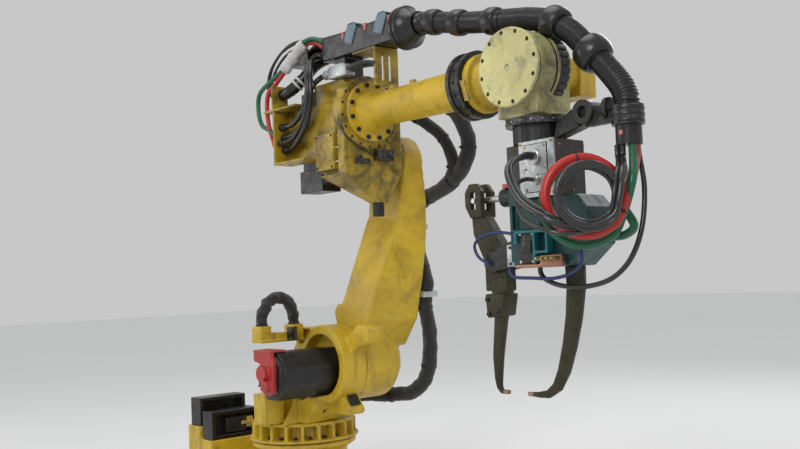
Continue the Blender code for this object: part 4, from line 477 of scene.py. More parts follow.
def make_looks(colours):
    rust = (0.07, 0.045, 0.02)
    edge_colour = (0.22, 0.2, 0.16)
    LOOKS.update(
        yellow=enamel(
            "robot_yellow_enamel", tuple(colours.yellow), (0.12, 0.075, 0.012), edge_colour, 0.4, 0.52, 0.7, 0.5,
            0.47,
        ),
        pale=enamel(
            "wrist_pale_enamel", tuple(colours.pale), (0.11, 0.115, 0.065), edge_colour, 0.46, 0.8, 0.6, 0.4,
        ),
        # A darker copy of the robot yellow with heavier grime: the grime is dirt; the darker base colour is
        # painted shade on the elbow casing and its cable box.
        oily=enamel(
            "oily_yellow_enamel", shade(colours.yellow, 0.74), (0.045, 0.034, 0.009), edge_colour, 0.38, 0.85, 0.8,
            0.8, 0.4,
        ),
        drum=enamel(
            "drum_olive_enamel", shade(colours.pale, 0.7), (0.05, 0.05, 0.022), edge_colour, 0.42, 0.8, 0.6, 0.6,
            0.42,
        ),
        black=enamel(
            "black_enamel", (0.009, 0.0092, 0.01), (0.024, 0.022, 0.019), edge_colour, 0.32, 0.45, 0.3, 0.2,
        ),
        red=enamel("guard_red_enamel", tuple(colours.red), (0.06, 0.02, 0.015), edge_colour, 0.42, 0.5, 0.5),
        # Both teal looks take a brighter teal (0.02, 0.26, 0.27) along their edges: a painted highlight, not
        # worn paint.
        teal=enamel(
            "gun_teal_enamel", tuple(colours.teal), (0.014, 0.018, 0.017), (0.02, 0.26, 0.27), 0.4, 0.6, 1.0,
        ),
        frame_teal=enamel(
            "frame_teal_enamel", shade(colours.teal, 3.4), (0.012, 0.03, 0.03), (0.02, 0.26, 0.27), 0.38, 0.5,
            1.0,
        ),
        rust=enamel("case_brown_enamel", (0.034, 0.025, 0.02), (0.014, 0.011, 0.009), edge_colour, 0.38, 0.7, 0.4),
        plate=metal("zinc_plate", (0.52, 0.55, 0.55), (0.22, 0.21, 0.18), 0.36, 0.75),
        bright=metal("bright_steel", (0.62, 0.61, 0.58), (0.18, 0.15, 0.1), 0.3, 0.95),
        steel=metal("dark_steel", (0.065, 0.065, 0.063), (0.022, 0.019, 0.016), 0.4, 0.85),
        bolt=metal("bolt_steel", (0.055, 0.055, 0.055), rust, 0.4, 0.8),
        bronze=metal("cast_bronze", (0.052, 0.046, 0.025), (0.02, 0.018, 0.012), 0.46, 0.55),
        copper=metal("tip_copper", (0.46, 0.25, 0.17), (0.14, 0.08, 0.06), 0.38, 0.9),
        brass=metal("fitting_brass", (0.46, 0.34, 0.13), (0.13, 0.1, 0.05), 0.34, 0.9),
        rubber=elastomer("black_rubber", (0.008, 0.008, 0.008), (0.026, 0.024, 0.021), 0.44),
        conduit=elastomer("conduit_plastic", (0.006, 0.006, 0.0065), (0.013, 0.0125, 0.012), 0.26, 0.2, 0.15),
        sheath=elastomer("cable_sheath", (0.01, 0.0095, 0.009), (0.03, 0.027, 0.023), 0.24, 0.4, 0.2),
        clip=elastomer("clip_plastic", (0.5, 0.16, 0.14), (0.25, 0.12, 0.1), 0.45),
        bluegrey=elastomer("bracket_plastic", (0.13, 0.18, 0.22), (0.07, 0.08, 0.085), 0.42),
        hose_red=elastomer("red_hose", tuple(colours.hose_red), (0.16, 0.03, 0.02), 0.28, 0.35),
        hose_green=elastomer("green_hose", (0.005, 0.1, 0.042), (0.012, 0.035, 0.02), 0.3, 0.4),
        hose_blue=elastomer("blue_hose", (0.008, 0.024, 0.12), (0.012, 0.018, 0.04), 0.3, 0.4),
        hose_grey=elastomer("grey_hose", (0.017, 0.017, 0.018), (0.034, 0.032, 0.03), 0.2, 0.3, 0.3),
        sleeve=weave("sleeve_cloth", (0.017, 0.017, 0.015), (0.04, 0.037, 0.03)),
        wrap=weave("white_wrap", (0.78, 0.77, 0.74), (0.5, 0.48, 0.44), 0.004),
    )


# Geometry Nodes trees


def new_tree(name, sockets):
    """An empty tree with geometry in and out, and the named inputs."""
    tree = bpy.data.node_groups.new(name, "GeometryNodeTree")
    tree.interface.new_socket("Geometry", in_out="INPUT", socket_type="NodeSocketGeometry")
    for label, kind, default in sockets:
        socket = tree.interface.new_socket(label, in_out="INPUT", socket_type=kind)
        if default is not None:
            socket.default_value = default
    tree.interface.new_socket("Geometry", in_out="OUTPUT", socket_type="NodeSocketGeometry")
    return tree, tree.nodes.new("NodeGroupInput"), tree.nodes.new("NodeGroupOutput")


def tree_node(tree, kind, inputs, **settings):
    made = tree.nodes.new(kind)
    for key, value in settings.items():
        setattr(made, key, value)
    for key, value in inputs.items():
        if isinstance(value, bpy.types.NodeSocket):
            tree.links.new(value, made.inputs[key])
        else:
            made.inputs[key].default_value = value
    return made


def tree_math(tree, operation, first, second=0.0):
    return tree_node(tree, "ShaderNodeMath", {0: first, 1: second}, operation=operation).outputs[0]


def fastener_tree():
    """A chamfered screw head with a socket in it, set on every point along the point's facing."""
    sockets = (
        ("Head Radius", "NodeSocketFloat", 0.009),
        ("Head Height", "NodeSocketFloat", 0.008),
        ("Socket Share", "NodeSocketFloat", 0.5),
        ("Sides", "NodeSocketInt", 12),
        ("Material", "NodeSocketMaterial", None),
    )
    tree, given, result = new_tree("Fasteners", sockets)
    inputs = given.outputs
    half = tree_math(tree, "MULTIPLY", inputs["Head Height"], 0.5)
    head = tree_node(
        tree,
        "GeometryNodeMeshCylinder",
        {"Vertices": inputs["Sides"], "Radius": inputs["Head Radius"], "Depth": inputs["Head Height"]},
        fill_type="NGON",
    )

    def extrude(mesh, top, offset):
        sockets = {"Mesh": mesh, "Selection": top, "Offset Scale": offset, "Individual": False}
        return tree_node(tree, "GeometryNodeExtrudeMesh", sockets).outputs

    def shrink(grown, scale):
        sockets = {"Geometry": grown["Mesh"], "Selection": grown["Top"], "Scale": scale}
        return tree_node(tree, "GeometryNodeScaleElements", sockets).outputs[0]

    chamfer = tree_math(tree, "MULTIPLY", inputs["Head Height"], 0.16)
    depth = tree_math(tree, "MULTIPLY", inputs["Head Height"], -0.6)
    rim = extrude(head.outputs["Mesh"], head.outputs["Top"], chamfer)
    flat = extrude(shrink(rim, 0.86), rim["Top"], 0.0)
    sunk = extrude(shrink(flat, inputs["Socket Share"]), flat["Top"], depth)
    lift = tree_node(tree, "ShaderNodeCombineXYZ", {"Z": half})
    raised = tree_node(
        tree, "GeometryNodeTransform", {"Geometry": sunk["Mesh"], "Translation": lift.outputs[0]}
    )
    facing = tree_node(tree, "GeometryNodeInputNamedAttribute", {"Name": "facing"}, data_type="FLOAT_VECTOR")
    turn = tree_node(
        tree, "FunctionNodeAlignRotationToVector", {"Vector": facing.outputs["Attribute"]}, axis="Z"
    )
    spots = tree_node(
        tree,
        "GeometryNodeInstanceOnPoints",
        {"Points": inputs["Geometry"], "Instance": raised.outputs[0], "Rotation": turn.outputs[0]},
    )
    real = tree_node(tree, "GeometryNodeRealizeInstances", {"Geometry": spots.outputs[0]})
    painted = tree_node(
        tree, "GeometryNodeSetMaterial", {"Geometry": real.outputs[0], "Material": inputs["Material"]}
    )
    tree.links.new(painted.outputs[0], result.inputs[0])
    return tree


def ribbed_tree():
    """A hose with rounded ribs along a line of points."""
    sockets = (
        ("Radius", "NodeSocketFloat", 0.049),
        ("Rib Depth", "NodeSocketFloat", 0.005),
        ("Rib Pitch", "NodeSocketFloat", 0.013),
        ("Sides", "NodeSocketInt", 36),
        ("Material", "NodeSocketMaterial", None),
    )
    tree, given, result = new_tree("Ribbed hose", sockets)
    inputs = given.outputs
    line = tree_node(tree, "GeometryNodeMeshToCurve", {"Mesh": inputs["Geometry"]})
    step = tree_math(tree, "DIVIDE", inputs["Rib Pitch"], 6.0)
    even = tree_node(
        tree, "GeometryNodeResampleCurve", {"Curve": line.outputs[0], "Length": step}, mode="LENGTH"
    )
    along = tree_node(tree, "GeometryNodeSplineParameter", {})
    turns = tree_math(tree, "DIVIDE", along.outputs["Length"], inputs["Rib Pitch"])
    wave = tree_math(tree, "COSINE", tree_math(tree, "MULTIPLY", turns, math.tau))
    bowl = tree_math(tree, "ADD", tree_math(tree, "MULTIPLY", wave, 0.5), 0.5)
    groove = tree_math(tree, "MULTIPLY", tree_math(tree, "POWER", bowl, 1.6), inputs["Rib Depth"])
    size = tree_math(tree, "SUBTRACT", inputs["Radius"], groove)
    ring = tree_node(tree, "GeometryNodeCurvePrimitiveCircle", {"Resolution": inputs["Sides"], "Radius": 1.0})
    skin = tree_node(
        tree,
        "GeometryNodeCurveToMesh",
        {"Curve": even.outputs[0], "Profile Curve": ring.outputs[0], "Scale": size, "Fill Caps": True},
    )
    soft = tree_node(tree, "GeometryNodeSetShadeSmooth", {"Geometry": skin.outputs[0]})
    painted = tree_node(
        tree, "GeometryNodeSetMaterial", {"Geometry": soft.outputs[0], "Material": inputs["Material"]}
    )
    tree.links.new(painted.outputs[0], result.inputs[0])
    return tree


TREES = {}


def grow(obj, tree_name, **values):
    """Runs a tree on an object and keeps its result as the object's plain mesh."""
    if tree_name not in TREES:
        TREES[tree_name] = {"fasteners": fastener_tree, "ribbed": ribbed_tree}[tree_name]()
    tree = TREES[tree_name]
    modifier = obj.modifiers.new("Shape", "NODES")
    modifier.node_group = tree
    for item in tree.interface.items_tree:
        key = item.name.lower().replace(" ", "_")
        if item.in_out == "INPUT" and key in values:
            modifier[item.identifier] = values[key]
    return bake(obj)


def fasteners(name, body, spots, radius=0.009, height=0.008, sides=12, socket=0.5, look="bolt", carrier=None):
    """Screw heads at (point, facing) pairs in the body's frame."""
    place = PLACES[carrier or body]
    mesh = bpy.data.meshes.new(name)
    mesh.from_pydata([place @ Vector(point) for point, _ in spots], [], [])
    facing = mesh.attributes.new("facing", "FLOAT_VECTOR", "POINT")
    for item, (_, way) in zip(facing.data, spots):
        item.vector = place.to_3x3() @ Vector(way)
    made = link(name, mesh)
    values = {"head_radius": radius, "head_height": height, "sides": sides, "socket_share": socket}
    grow(made, "fasteners", material=LOOKS[look], **values)
    made.data.set_sharp_from_angle(angle=SHARP_ANGLE)
    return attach(made, body)


def around(axis, centre, radius, count, along, way=1, start=0.0, turn=math.tau, outward=False):
    """(point, facing) pairs on a circle, which face along its axis or outward."""
    spots = []
    for step in range(count):
        angle = start + turn * step / (count if turn == math.tau else max(count - 1, 1))
        first, second = math.cos(angle), math.sin(angle)
        point = put(axis, along, centre[0] + radius * first, centre[1] + radius * second)
        facing = put(axis, 0, first, second) if outward else put(axis, way, 0, 0)
        spots.append((point, facing))
    return spots


# Stage and camera


def make_stage(settings):
    floor = bmesh.new()
    bmesh.ops.create_grid(floor, x_segments=1, y_segments=1, size=settings.floor_size / 2)
    mesh = bpy.data.meshes.new("stage_floor")
    floor.to_mesh(mesh)
    floor.free()
    g = Graph("stage_floor")
    g.join(base_color=g.mix(g.noise(0.6, 3), (0.64, 0.64, 0.64), (0.68, 0.68, 0.675)), roughness=0.8)
    made = link("stage_floor", mesh, g.material)
    world = bpy.data.worlds.new("studio")
    bpy.context.scene.world = world
    world.use_nodes = True
    nodes, links = world.node_tree.nodes, world.node_tree.links
    light = nodes["Background"]
    light.inputs["Color"].default_value = (0.98, 0.99, 1.0, 1.0)
    light.inputs["Strength"].default_value = settings.sky_strength
    seen = nodes.new("ShaderNodeBackground")
    seen.inputs["Color"].default_value = (settings.backdrop_grey,) * 3 + (1.0,)
    paths = nodes.new("ShaderNodeLightPath")
    seen_by = paths.outputs["Is Camera Ray"]
    for label in ("Is Glossy Ray", "Is Transmission Ray"):
        rays = nodes.new("ShaderNodeMath")
        rays.operation = "MAXIMUM"
        links.new(seen_by, rays.inputs[0])
        links.new(paths.outputs[label], rays.inputs[1])
        seen_by = rays.outputs[0]
    mixer = nodes.new("ShaderNodeMixShader")
    links.new(seen_by, mixer.inputs[0])
    links.new(light.outputs[0], mixer.inputs[1])
    links.new(seen.outputs[0], mixer.inputs[2])
    links.new(mixer.outputs[0], nodes["World Output"].inputs["Surface"])
    for name, place, target, size, power in (
        ("key", (3.6, -5.2, 4.6), (0.7, 0, 1.2), 3.0, settings.key_power),
        ("fill", (-3.8, -4.2, 2.6), (0.4, 0, 1.2), 3.5, settings.fill_power),
        ("rim", (0.6, 4.6, 4.2), (0.8, 0, 1.4), 3.0, settings.rim_power),
        ("top", (1.0, -0.4, 5.6), (0.9, 0, 1.0), 3.2, settings.top_power),
    ):
        lamp = bpy.data.lights.new(name, "AREA")
        lamp.shape = "DISK"
        lamp.size = size
        lamp.energy = power
        made = bpy.data.objects.new(name, lamp)
        bpy.context.scene.collection.objects.link(made)
        made.location = place
        made.rotation_euler = (Vector(target) - Vector(place)).to_track_quat("-Z", "Y").to_euler()
    bpy.context.scene.view_settings.view_transform = "Standard"


def make_camera():
    forward = Vector((-math.sin(CAMERA_YAW), math.cos(CAMERA_YAW), 0))
    right = Vector((math.cos(CAMERA_YAW), math.sin(CAMERA_YAW), 0))
    up = Vector((0, 0, 1))
    ahead = forward * math.cos(CAMERA_PITCH) + up * math.sin(CAMERA_PITCH)
    over = up * math.cos(CAMERA_PITCH) - forward * math.sin(CAMERA_PITCH)
    side = right * math.cos(CAMERA_ROLL) + over * math.sin(CAMERA_ROLL)
    over = over * math.cos(CAMERA_ROLL) - right * math.sin(CAMERA_ROLL)
    matrix = Matrix((side, over, -ahead)).transposed().to_4x4()
    matrix.translation = Vector(CAMERA_PLACE)
    data = bpy.data.cameras.new("photo_camera")
    data.sensor_width = CAMERA_SENSOR
    data.lens = CAMERA_LENS
    made = bpy.data.objects.new("photo_camera", data)
    bpy.context.scene.collection.objects.link(made)
    made.matrix_world = matrix
    bpy.context.scene.camera = made


# Hoses

HOSE_START = -0.1528
LOOP_CENTRE = Vector((0.375, -0.19, -0.345))
LOOP_HEADING = math.radians(49.5)
LOOP_START = math.radians(-35)
HOSE_RUNS = (
    # name, look, slot, radius, replaced nodes, place at the clamp, way to the coil,
    # coil's radius, turn, steps, nearness at its start and end, drop, way to the far end
    (
        "gun_hose_red", "hose_red", "red_hose", 0.019, ("gun_red_hose",), (0.459, 0.022),
        ((0.49, -0.055, -0.285),), (0.145, 330, 14, 0.02, -0.035, 0.0),
        ((0.43, -0.04, -0.415), (0.385, -0.032, -0.443), (0.345, -0.03, -0.445), (0.3003, -0.03, -0.445)),
    ),
    (
        "gun_hose_grey", "hose_grey", "black_rubber", 0.013, ("gun_grey_hose",), (0.437, -0.03),
        ((0.48, -0.09, -0.235), (0.505, -0.135, -0.285), (0.51, -0.16, -0.35)),
        (0.115, 415, 18, 0.085, 0.045, 0.0),
        (
            (0.37, -0.303, -0.456), (0.3026, -0.345, -0.4175), (0.1786, -0.33, -0.345), (0.088, -0.29, -0.24),
            (0.0624, -0.235, -0.182), (0.096, -0.19, -0.1618), (0.096, -0.1563, -0.1618),
        ),
    ),
    (
        "gun_cable_inner", "hose_grey", "black_rubber", 0.0082, (), (0.425, -0.048),
        ((0.468, -0.105, -0.235), (0.49, -0.15, -0.285), (0.495, -0.175, -0.35)),
        (0.099, 415, 18, 0.072, 0.032, 0.0),
        (
            (0.352, -0.3, -0.432), (0.29, -0.336, -0.392), (0.172, -0.318, -0.318), (0.095, -0.275, -0.216),
            (0.09, -0.228, -0.17), (0.108, -0.195, -0.153), (0.108, -0.1563, -0.153),
        ),
    ),
    (
        "gun_cable_low", "hose_grey", "black_rubber", 0.0085, (), (0.42, -0.014),
        ((0.484, -0.082, -0.25), (0.504, -0.13, -0.3), (0.506, -0.158, -0.36)),
        (0.117, 415, 18, 0.086, 0.054, 0.014),
        (
            (0.378, -0.318, -0.485), (0.3, -0.35, -0.462), (0.19, -0.33, -0.41), (0.12, -0.285, -0.33),
            (0.086, -0.232, -0.27), (0.096, -0.19, -0.2522), (0.096, -0.1563, -0.2522),
        ),
    ),
    (
        "gun_hose_green", "hose_green", "black_rubber", 0.0165, (), (0.473, -0.014), ((0.505, -0.075, -0.3),),
        (0.152, 325, 14, -0.024, -0.07, 0.03),
        ((0.45, 0.0, -0.455), (0.4, 0.02, -0.488), (0.345, 0.024, -0.494), (0.3003, 0.024, -0.494)),
    ),
)


def loop_route(place, before, coil, after):
    """The route of a hose from the conduit's clamp round a coil at the gun's near corner, as in the CAD."""
    size, turn, steps, near, far, drop = coil
    right = Vector((math.cos(LOOP_HEADING), math.sin(LOOP_HEADING), 0))
    toward = Vector((math.sin(LOOP_HEADING), -math.cos(LOOP_HEADING), 0))
    route = [(*place, HOSE_START), (*place, HOSE_START - 0.04), *before]
    for step in range(steps + 1):
        angle = LOOP_START - math.radians(turn) * step / steps
        out = size * (right * math.cos(angle) + Vector((0, 0, 1)) * math.sin(angle))
        aside = toward * (near + (far - near) * step / steps)
        route.append(tuple(LOOP_CENTRE - Vector((0, 0, drop)) + out + aside))
    return [*route, *after]


def make_gun_hoses():
    for name, look, slot, radius, nodes, *way in HOSE_RUNS:
        line = laid(loop_route(*way), 0.012)
        piece(name, tube(line, radius, 18), "tool", look, nodes, sharp=60)
        if name == "gun_hose_red":
            bands = joined([strap(line, share, radius, 0.006) for share in (0.22, 0.42, 0.66)])
            piece(f"{name}_ties", bands, "tool", "rubber")


SLEEVE_RADIUS = 0.043
SLEEVES = (
    # name, body, carrier of the route, replaced node, radius, straps as shares of the length, blend, route
    (
        "shoulder_sleeve_cloth",
        ("column", "arm"),
        "column", "shoulder_sleeve", SLEEVE_RADIUS, (0.06, 0.34, 0.64, 0.93),
        ((0.085, 0.215, 0.46), (0.5565, 0.4313, 0.9663)),
        (
            (0.564, 0.4313, 1.0056), (0.5565, 0.4313, 0.9663), (0.578, 0.438, 0.832), (0.569, 0.446, 0.684),
            (0.52, 0.448, 0.555), (0.425, 0.43, 0.48), (0.295, 0.385, 0.462), (0.175, 0.31, 0.465),
            (0.085, 0.215, 0.46), (0.054, 0.165, 0.415), (0.054, 0.165, 0.3664),
        ),
    ),
    (
        "elbow_sleeve_cloth",
        ("elbow", "arm"),
        "elbow", "elbow_sleeve", SLEEVE_RADIUS, (0.05, 0.25, 0.45, 0.65, 0.82, 0.96),
        ((0.32, 0.335, 0.3), (0.028, 0.432, -0.242)),
        (
            (0.1453, 0.3, 0.33), (0.19, 0.3, 0.33), (0.32, 0.335, 0.3), (0.415, 0.375, 0.215),
            (0.46, 0.4, 0.1), (0.445, 0.415, 0.0), (0.37, 0.425, -0.085), (0.26, 0.432, -0.145),
            (0.15, 0.432, -0.18), (0.075, 0.432, -0.205), (0.028, 0.432, -0.242), (0.0091, 0.4313, -0.2859),
            (0.0021, 0.4313, -0.325),
        ),
    ),
    (
        "elbow_sleeve_inner",
        ("elbow", "arm"),
        "elbow", None, 0.034, (0.12, 0.38, 0.62), ((0.2485, 0.33, 0.1755), (0.13, 0.432, -0.182)),
        (
            (0.1453, 0.255, 0.236), (0.19, 0.262, 0.233), (0.2485, 0.33, 0.1755), (0.3032, 0.385, 0.0973),
            (0.3343, 0.4, 0.0189), (0.3444, 0.408, -0.0393), (0.315, 0.415, -0.095), (0.24, 0.428, -0.144),
            (0.17, 0.432, -0.17), (0.13, 0.432, -0.182),
        ),
    ),
    (
        "arm_sleeve_cloth", ("arm",), "arm", "arm_sleeve", SLEEVE_RADIUS, (0.08, 0.36, 0.64, 0.92), None,
        ((0.185, 0.4313, 0.4073), (0.185, 0.4313, 0.4503), (0.06, 0.4313, 0.6817), (0.06, 0.4313, 0.7247)),
    ),
    (
        "terminal_sleeve_cloth", ("column",), "column", "terminal_sleeve", 0.032, (0.07, 0.93), None,
        (
            (0.085, -0.303, 0.8523), (0.085, -0.303, 0.92), (0.085, -0.262, 1.0), (0.085, -0.196, 1.03),
            (0.085, -0.132, 1.0), (0.085, -0.1, 0.92), (0.085, -0.1, 0.8523),
        ),
    ),
)


def place_along(line, share):
    """The place at a share of a line's length, with Z along the line."""
    target = share * run_length(line)
    travelled = 0.0
    for a, b in zip(line, line[1:]):
        if travelled + (b - a).length >= target:
            break
        travelled += (b - a).length
    way = (b - a).normalized()
    middle = Matrix.Translation(a + way * (target - travelled))
    return middle @ way.to_track_quat("Z", "Y").to_matrix().to_4x4()


def strap(line, share, radius, width=0.012):
    """A flat band round a tube at a share of its length."""
    profile = [(-width / 2, radius - 0.002), (-width / 2, radius + 0.0015), (width / 2, radius + 0.0015)]
    band = turned("Z", (0, 0), [*profile, (width / 2, radius - 0.002)], 24, closed=False)
    lock = box((radius, radius + 0.006), (-0.006, 0.006), (-0.005, 0.005))
    made = joined([band, lock])
    made.transform(place_along(line, share))
    return made


def make_sleeves():
    for name, bodies, carrier, node, radius, straps, blend, route in SLEEVES:
        line = laid(route)
        shape = wrinkles(0.16, 0.055, len(name))
        if name == "terminal_sleeve_cloth":
            shape = gathered(run_length(line), 0.3)
        cloth = tube(line, radius, 28, shape)
        nodes = (node,) if node else ()
        made = piece(name, cloth, bodies[0], "sleeve", nodes, 0.0, 60, not blend, carrier)
        bands = joined([strap(line, share, radius * 0.97) for share in straps])
        ties = piece(
            f"{name}_straps", bands, bodies[0], "rubber", ride=not blend, carrier=carrier,
        )
        if blend:
            for item in (made, ties):
                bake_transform(item)


CABLE_STARTS = (
    # place on the wall's flange along Y and Z, cable radius, lane across the bundle, lane along it
    (-0.188, 0.205, 0.0135, -0.5, 0.6), (-0.176, 0.15, 0.0135, 0.55, 0.5), (-0.17, 0.085, 0.015, 0.0, -0.6),
    (-0.205, 0.12, 0.011, -0.9, -0.2),
)
BUNDLE_ROUTE = (
    (-0.23, -0.178, 0.165), (-0.13, -0.186, 0.235), (-0.08, -0.19, 0.34), (-0.09, -0.18, 0.44),
    (-0.135, -0.14, 0.52), (-0.145, -0.08, 0.562), (-0.095, -0.051, 0.566), (0.05, -0.0515, 0.565),
    (0.45, -0.0515, 0.565), (0.479, -0.0515, 0.565),
)
SHELF_ROUTE = (
    (-0.3574, -0.17, 0.385), (-0.33, -0.17, 0.385), (-0.27, -0.16, 0.405), (-0.22, -0.12, 0.46),
    (-0.195, -0.06, 0.53), (-0.16, -0.005, 0.565), (-0.08, 0.009, 0.567), (0.05, 0.009, 0.567),
    (0.45, 0.009, 0.567), (0.479, 0.009, 0.567),
)


def make_casing_cables():
    """Separate cables from their nuts on the cable wall, which close up into one bundle in the trough."""
    shapes, nuts = [], []
    for y, z, radius, lane_y, lane_z in CABLE_STARTS:
        route = [Vector((-0.336, y, z)), Vector((-0.3, y, z))]
        for index, point in enumerate(BUNDLE_ROUTE):
            way = Vector(BUNDLE_ROUTE[min(index + 1, len(BUNDLE_ROUTE) - 1)]) - Vector(
                BUNDLE_ROUTE[max(index - 1, 0)],
            )
            side = way.cross(Vector((0, 1, 0))).normalized()
            side = Vector((0, 0, 1)) if side.length < 0.5 else side
            open_share = max(0.0, 1.0 - index / 3)
            loose = Vector((0, 0, (z - 0.15) * 0.75 * open_share))
            lane = Vector((0, lane_y * 0.016, 0)) + side * lane_z * 0.014
            route.append(Vector(point) + lane + loose)
        line = laid(route, 0.012, 6)
        shapes.append(tube(line, radius, 14))
        nut = turned(
            "X", (y, z),
            [(-0.351, radius * 1.5), (-0.33, radius * 1.5), (-0.326, radius * 1.25), (-0.3, radius * 1.25)],
            12,
        )
        nuts.append(nut)
    piece(
        "casing_cable_bundle", joined(shapes), "elbow", "sheath", ("casing_cables",),
        sharp=60,
    )
    piece("casing_cable_glands", joined(nuts), "elbow", "rubber", bevel=0.001)
    line = laid(SHELF_ROUTE)
    skin = tube(line, 0.032, 24, shelf_hose_folds)
    piece("shelf_hose_skin", skin, "elbow", "conduit", ("shelf_hose",), sharp=80)
    bands = [strap(line, share, 0.035, 0.013) for share in (0.125, 0.15)]
    piece("shelf_hose_clamps", joined(bands), "elbow", "wrap", bevel=0.002)


def shelf_hose_folds(along, angle):
    """Shallow rings along the hose on the shelf, for a tube's shape."""
    return 1 - 0.05 * (0.5 + 0.5 * math.cos(math.tau * along / 0.011))


CONDUIT_RADIUS = 0.049
CONDUITS = (
    # name, node, route's body, blended bodies, start and end of the bend, route
    (
        "conduit_rear_ribbed", "conduit_rear", "elbow",
        ("elbow", "forearm"),
        ((0.66, -0.02, 0.58), (1.1, 0.0, 0.482)),
        (
            (0.6006, -0.02, 0.58), (0.63, -0.02, 0.58), (0.76, -0.013, 0.55), (0.89, -0.004, 0.52),
            (1.0, 0.0, 0.4993), (1.12, 0.0, 0.478),
        ),
    ),
    (
        "conduit_middle_ribbed", "conduit_middle", "forearm",
        ("forearm", "wrist"),
        ((1.16, 0.0, 0.246), (1.54, 0.0, 0.06)),
        (
            (1.1203, 0.0, 0.25295), (1.24, 0.0, 0.2317), (1.38, 0.0, 0.189), (1.49, 0.0, 0.115),
            (1.56, 0.0, 0.04),
        ),
    ),
    (
        "conduit_front_ribbed", "conduit_front", "wrist",
        ("wrist", "tool"),
        ((0.3, 0.0, 0.01), (0.449, 0.0, -0.19)),
        (
            (0.2806, 0.0, 0.03735), (0.336, 0.0, -0.023), (0.388, 0.0, -0.084), (0.429, 0.0, -0.14),
            (0.449, 0.0, -0.193), (0.449, 0.0, -0.2172),
        ),
    ),
)
COLLARS = (
    # conduit, share of its length, half length, swell
    (0, 0.18, 0.034, 0.009), (0, 0.48, 0.034, 0.009), (0, 0.88, 0.034, 0.01), (1, 0.58, 0.042, 0.02),
    (2, 0.1, 0.048, 0.025),
)


def collar(line, share, half, swell):
    """A ball clamp on the conduit: a fat rounded band with a lip at each side."""
    lip, inner, outer = half + 0.006, CONDUIT_RADIUS - 0.004, CONDUIT_RADIUS + 0.003
    profile = [(-lip, inner), (-lip, outer)]
    for step in range(13):
        angle = math.pi * step / 12
        profile.append((-half * math.cos(angle), outer + swell * math.sin(angle) ** 0.7))
    profile += [(lip, outer), (lip, inner)]
    made = turned("Z", (0, 0), profile, 40, closed=False)
    made.transform(place_along(line, share))
    return made


def make_conduit(settings):
    for index, (name, node, carrier, bodies, ends, route) in enumerate(CONDUITS):
        line = smooth_route(route, 8)
        place = PLACES[carrier]
        mesh = bpy.data.meshes.new(name)
        points = [place @ point for point in line]
        mesh.from_pydata(points, [(step, step + 1) for step in range(len(points) - 1)], [])
        made = link(name, mesh)
        sizes = {
            "radius": settings.conduit_radius, "rib_depth": settings.rib_depth,
            "rib_pitch": settings.rib_pitch,
        }
        grow(made, "ribbed", sides=settings.conduit_sides, material=LOOKS["conduit"], **sizes)
        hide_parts(node)
        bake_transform(made)
        balls = joined([collar(line, *form) for which, *form in COLLARS if which == index])
        balls = piece(
            f"{name}_balls", balls, bodies[0], "conduit", sharp=50, ride=False,
            carrier=carrier,
        )
        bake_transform(balls)


# Castings

CASTINGS = (
    # node, look, slot, grain of the remesh, smoothing rounds, share of triangles kept
    ("base_casting", "yellow", "robot_yellow", 0.006, 5, 0.35),
    ("base_cable_box", "yellow", "robot_yellow", 0.005, 3, 0.18),
    ("turntable", "yellow", "robot_yellow", 0.005, 4, 0.35),
    ("column_casting", "yellow", "robot_yellow", 0.0055, 9, 0.4),
    ("lower_arm", "yellow", "robot_yellow", 0.006, 12, 0.35),
    # These five take the darker yellow look, whose darkening is painted shade.
    ("elbow_casing", "oily", "robot_yellow", 0.005, 6, 0.3),
    ("casing_side_cover", "oily", "robot_yellow", 0.003, 3, 0.3),
    ("cable_wall", "oily", "robot_yellow", 0.004, 2, 0.3),
    ("hose_shelf", "oily", "robot_yellow", 0.003, 2, 0.3),
    ("trough_bracket", "oily", "robot_yellow", 0.003, 2, 0.3),
    ("terminal_shelf", "yellow", "robot_yellow", 0.003, 2, 0.3),
    ("low_terminal_box", "yellow", "robot_yellow", 0.003, 2, 0.3),
    ("wrist_fork", "yellow", "robot_yellow", 0.004, 6, 0.35),
    ("wrist_drum", "drum", "pale_yellow", 0.0035, 3, 0.4),
    ("shoulder_motor", "black", "black_paint", 0.004, 4, 0.3),
    ("motor_guard", "red", "guard_red", 0.003, 4, 0.35),
    ("swivel_motor", "black", "black_paint", 0.004, 4, 0.25),
    ("wrist_motors", "black", "black_paint", 0.004, 3, 0.25),
    ("elbow_motor", "black", "black_paint", 0.004, 3, 0.25),
    ("elbow_port", "steel", "dark_steel", 0.004, 3, 0.25),
    ("dress_trough", "conduit", "black_paint", 0.004, 2, 0.3),
    ("plug_hood_front", "black", "black_paint", 0.0035, 4, 0.3),
    ("plug_hood_rear", "black", "black_paint", 0.0035, 4, 0.3),
    ("transformer", "rust", "zinc_plate", 0.004, 2, 0.25),
    ("gun_body", "teal", "gun_teal", 0.004, 3, 0.3),
    ("gun_frame", "frame_teal", "gun_teal", 0.003, 3, 0.3),
    ("copper_shunt", "copper", "cast_bronze", 0.003, 3, 0.3),
    ("lever_cheeks", "steel", "dark_steel", 0.0025, 3, 0.3),
    ("lever_arm", "bronze", "cast_bronze", 0.003, 6, 0.4),
    ("fixed_electrode_arm", "bronze", "cast_bronze", 0.003, 6, 0.4),
    ("swing_bracket", "steel", "dark_steel", 0.003, 4, 0.4),
)


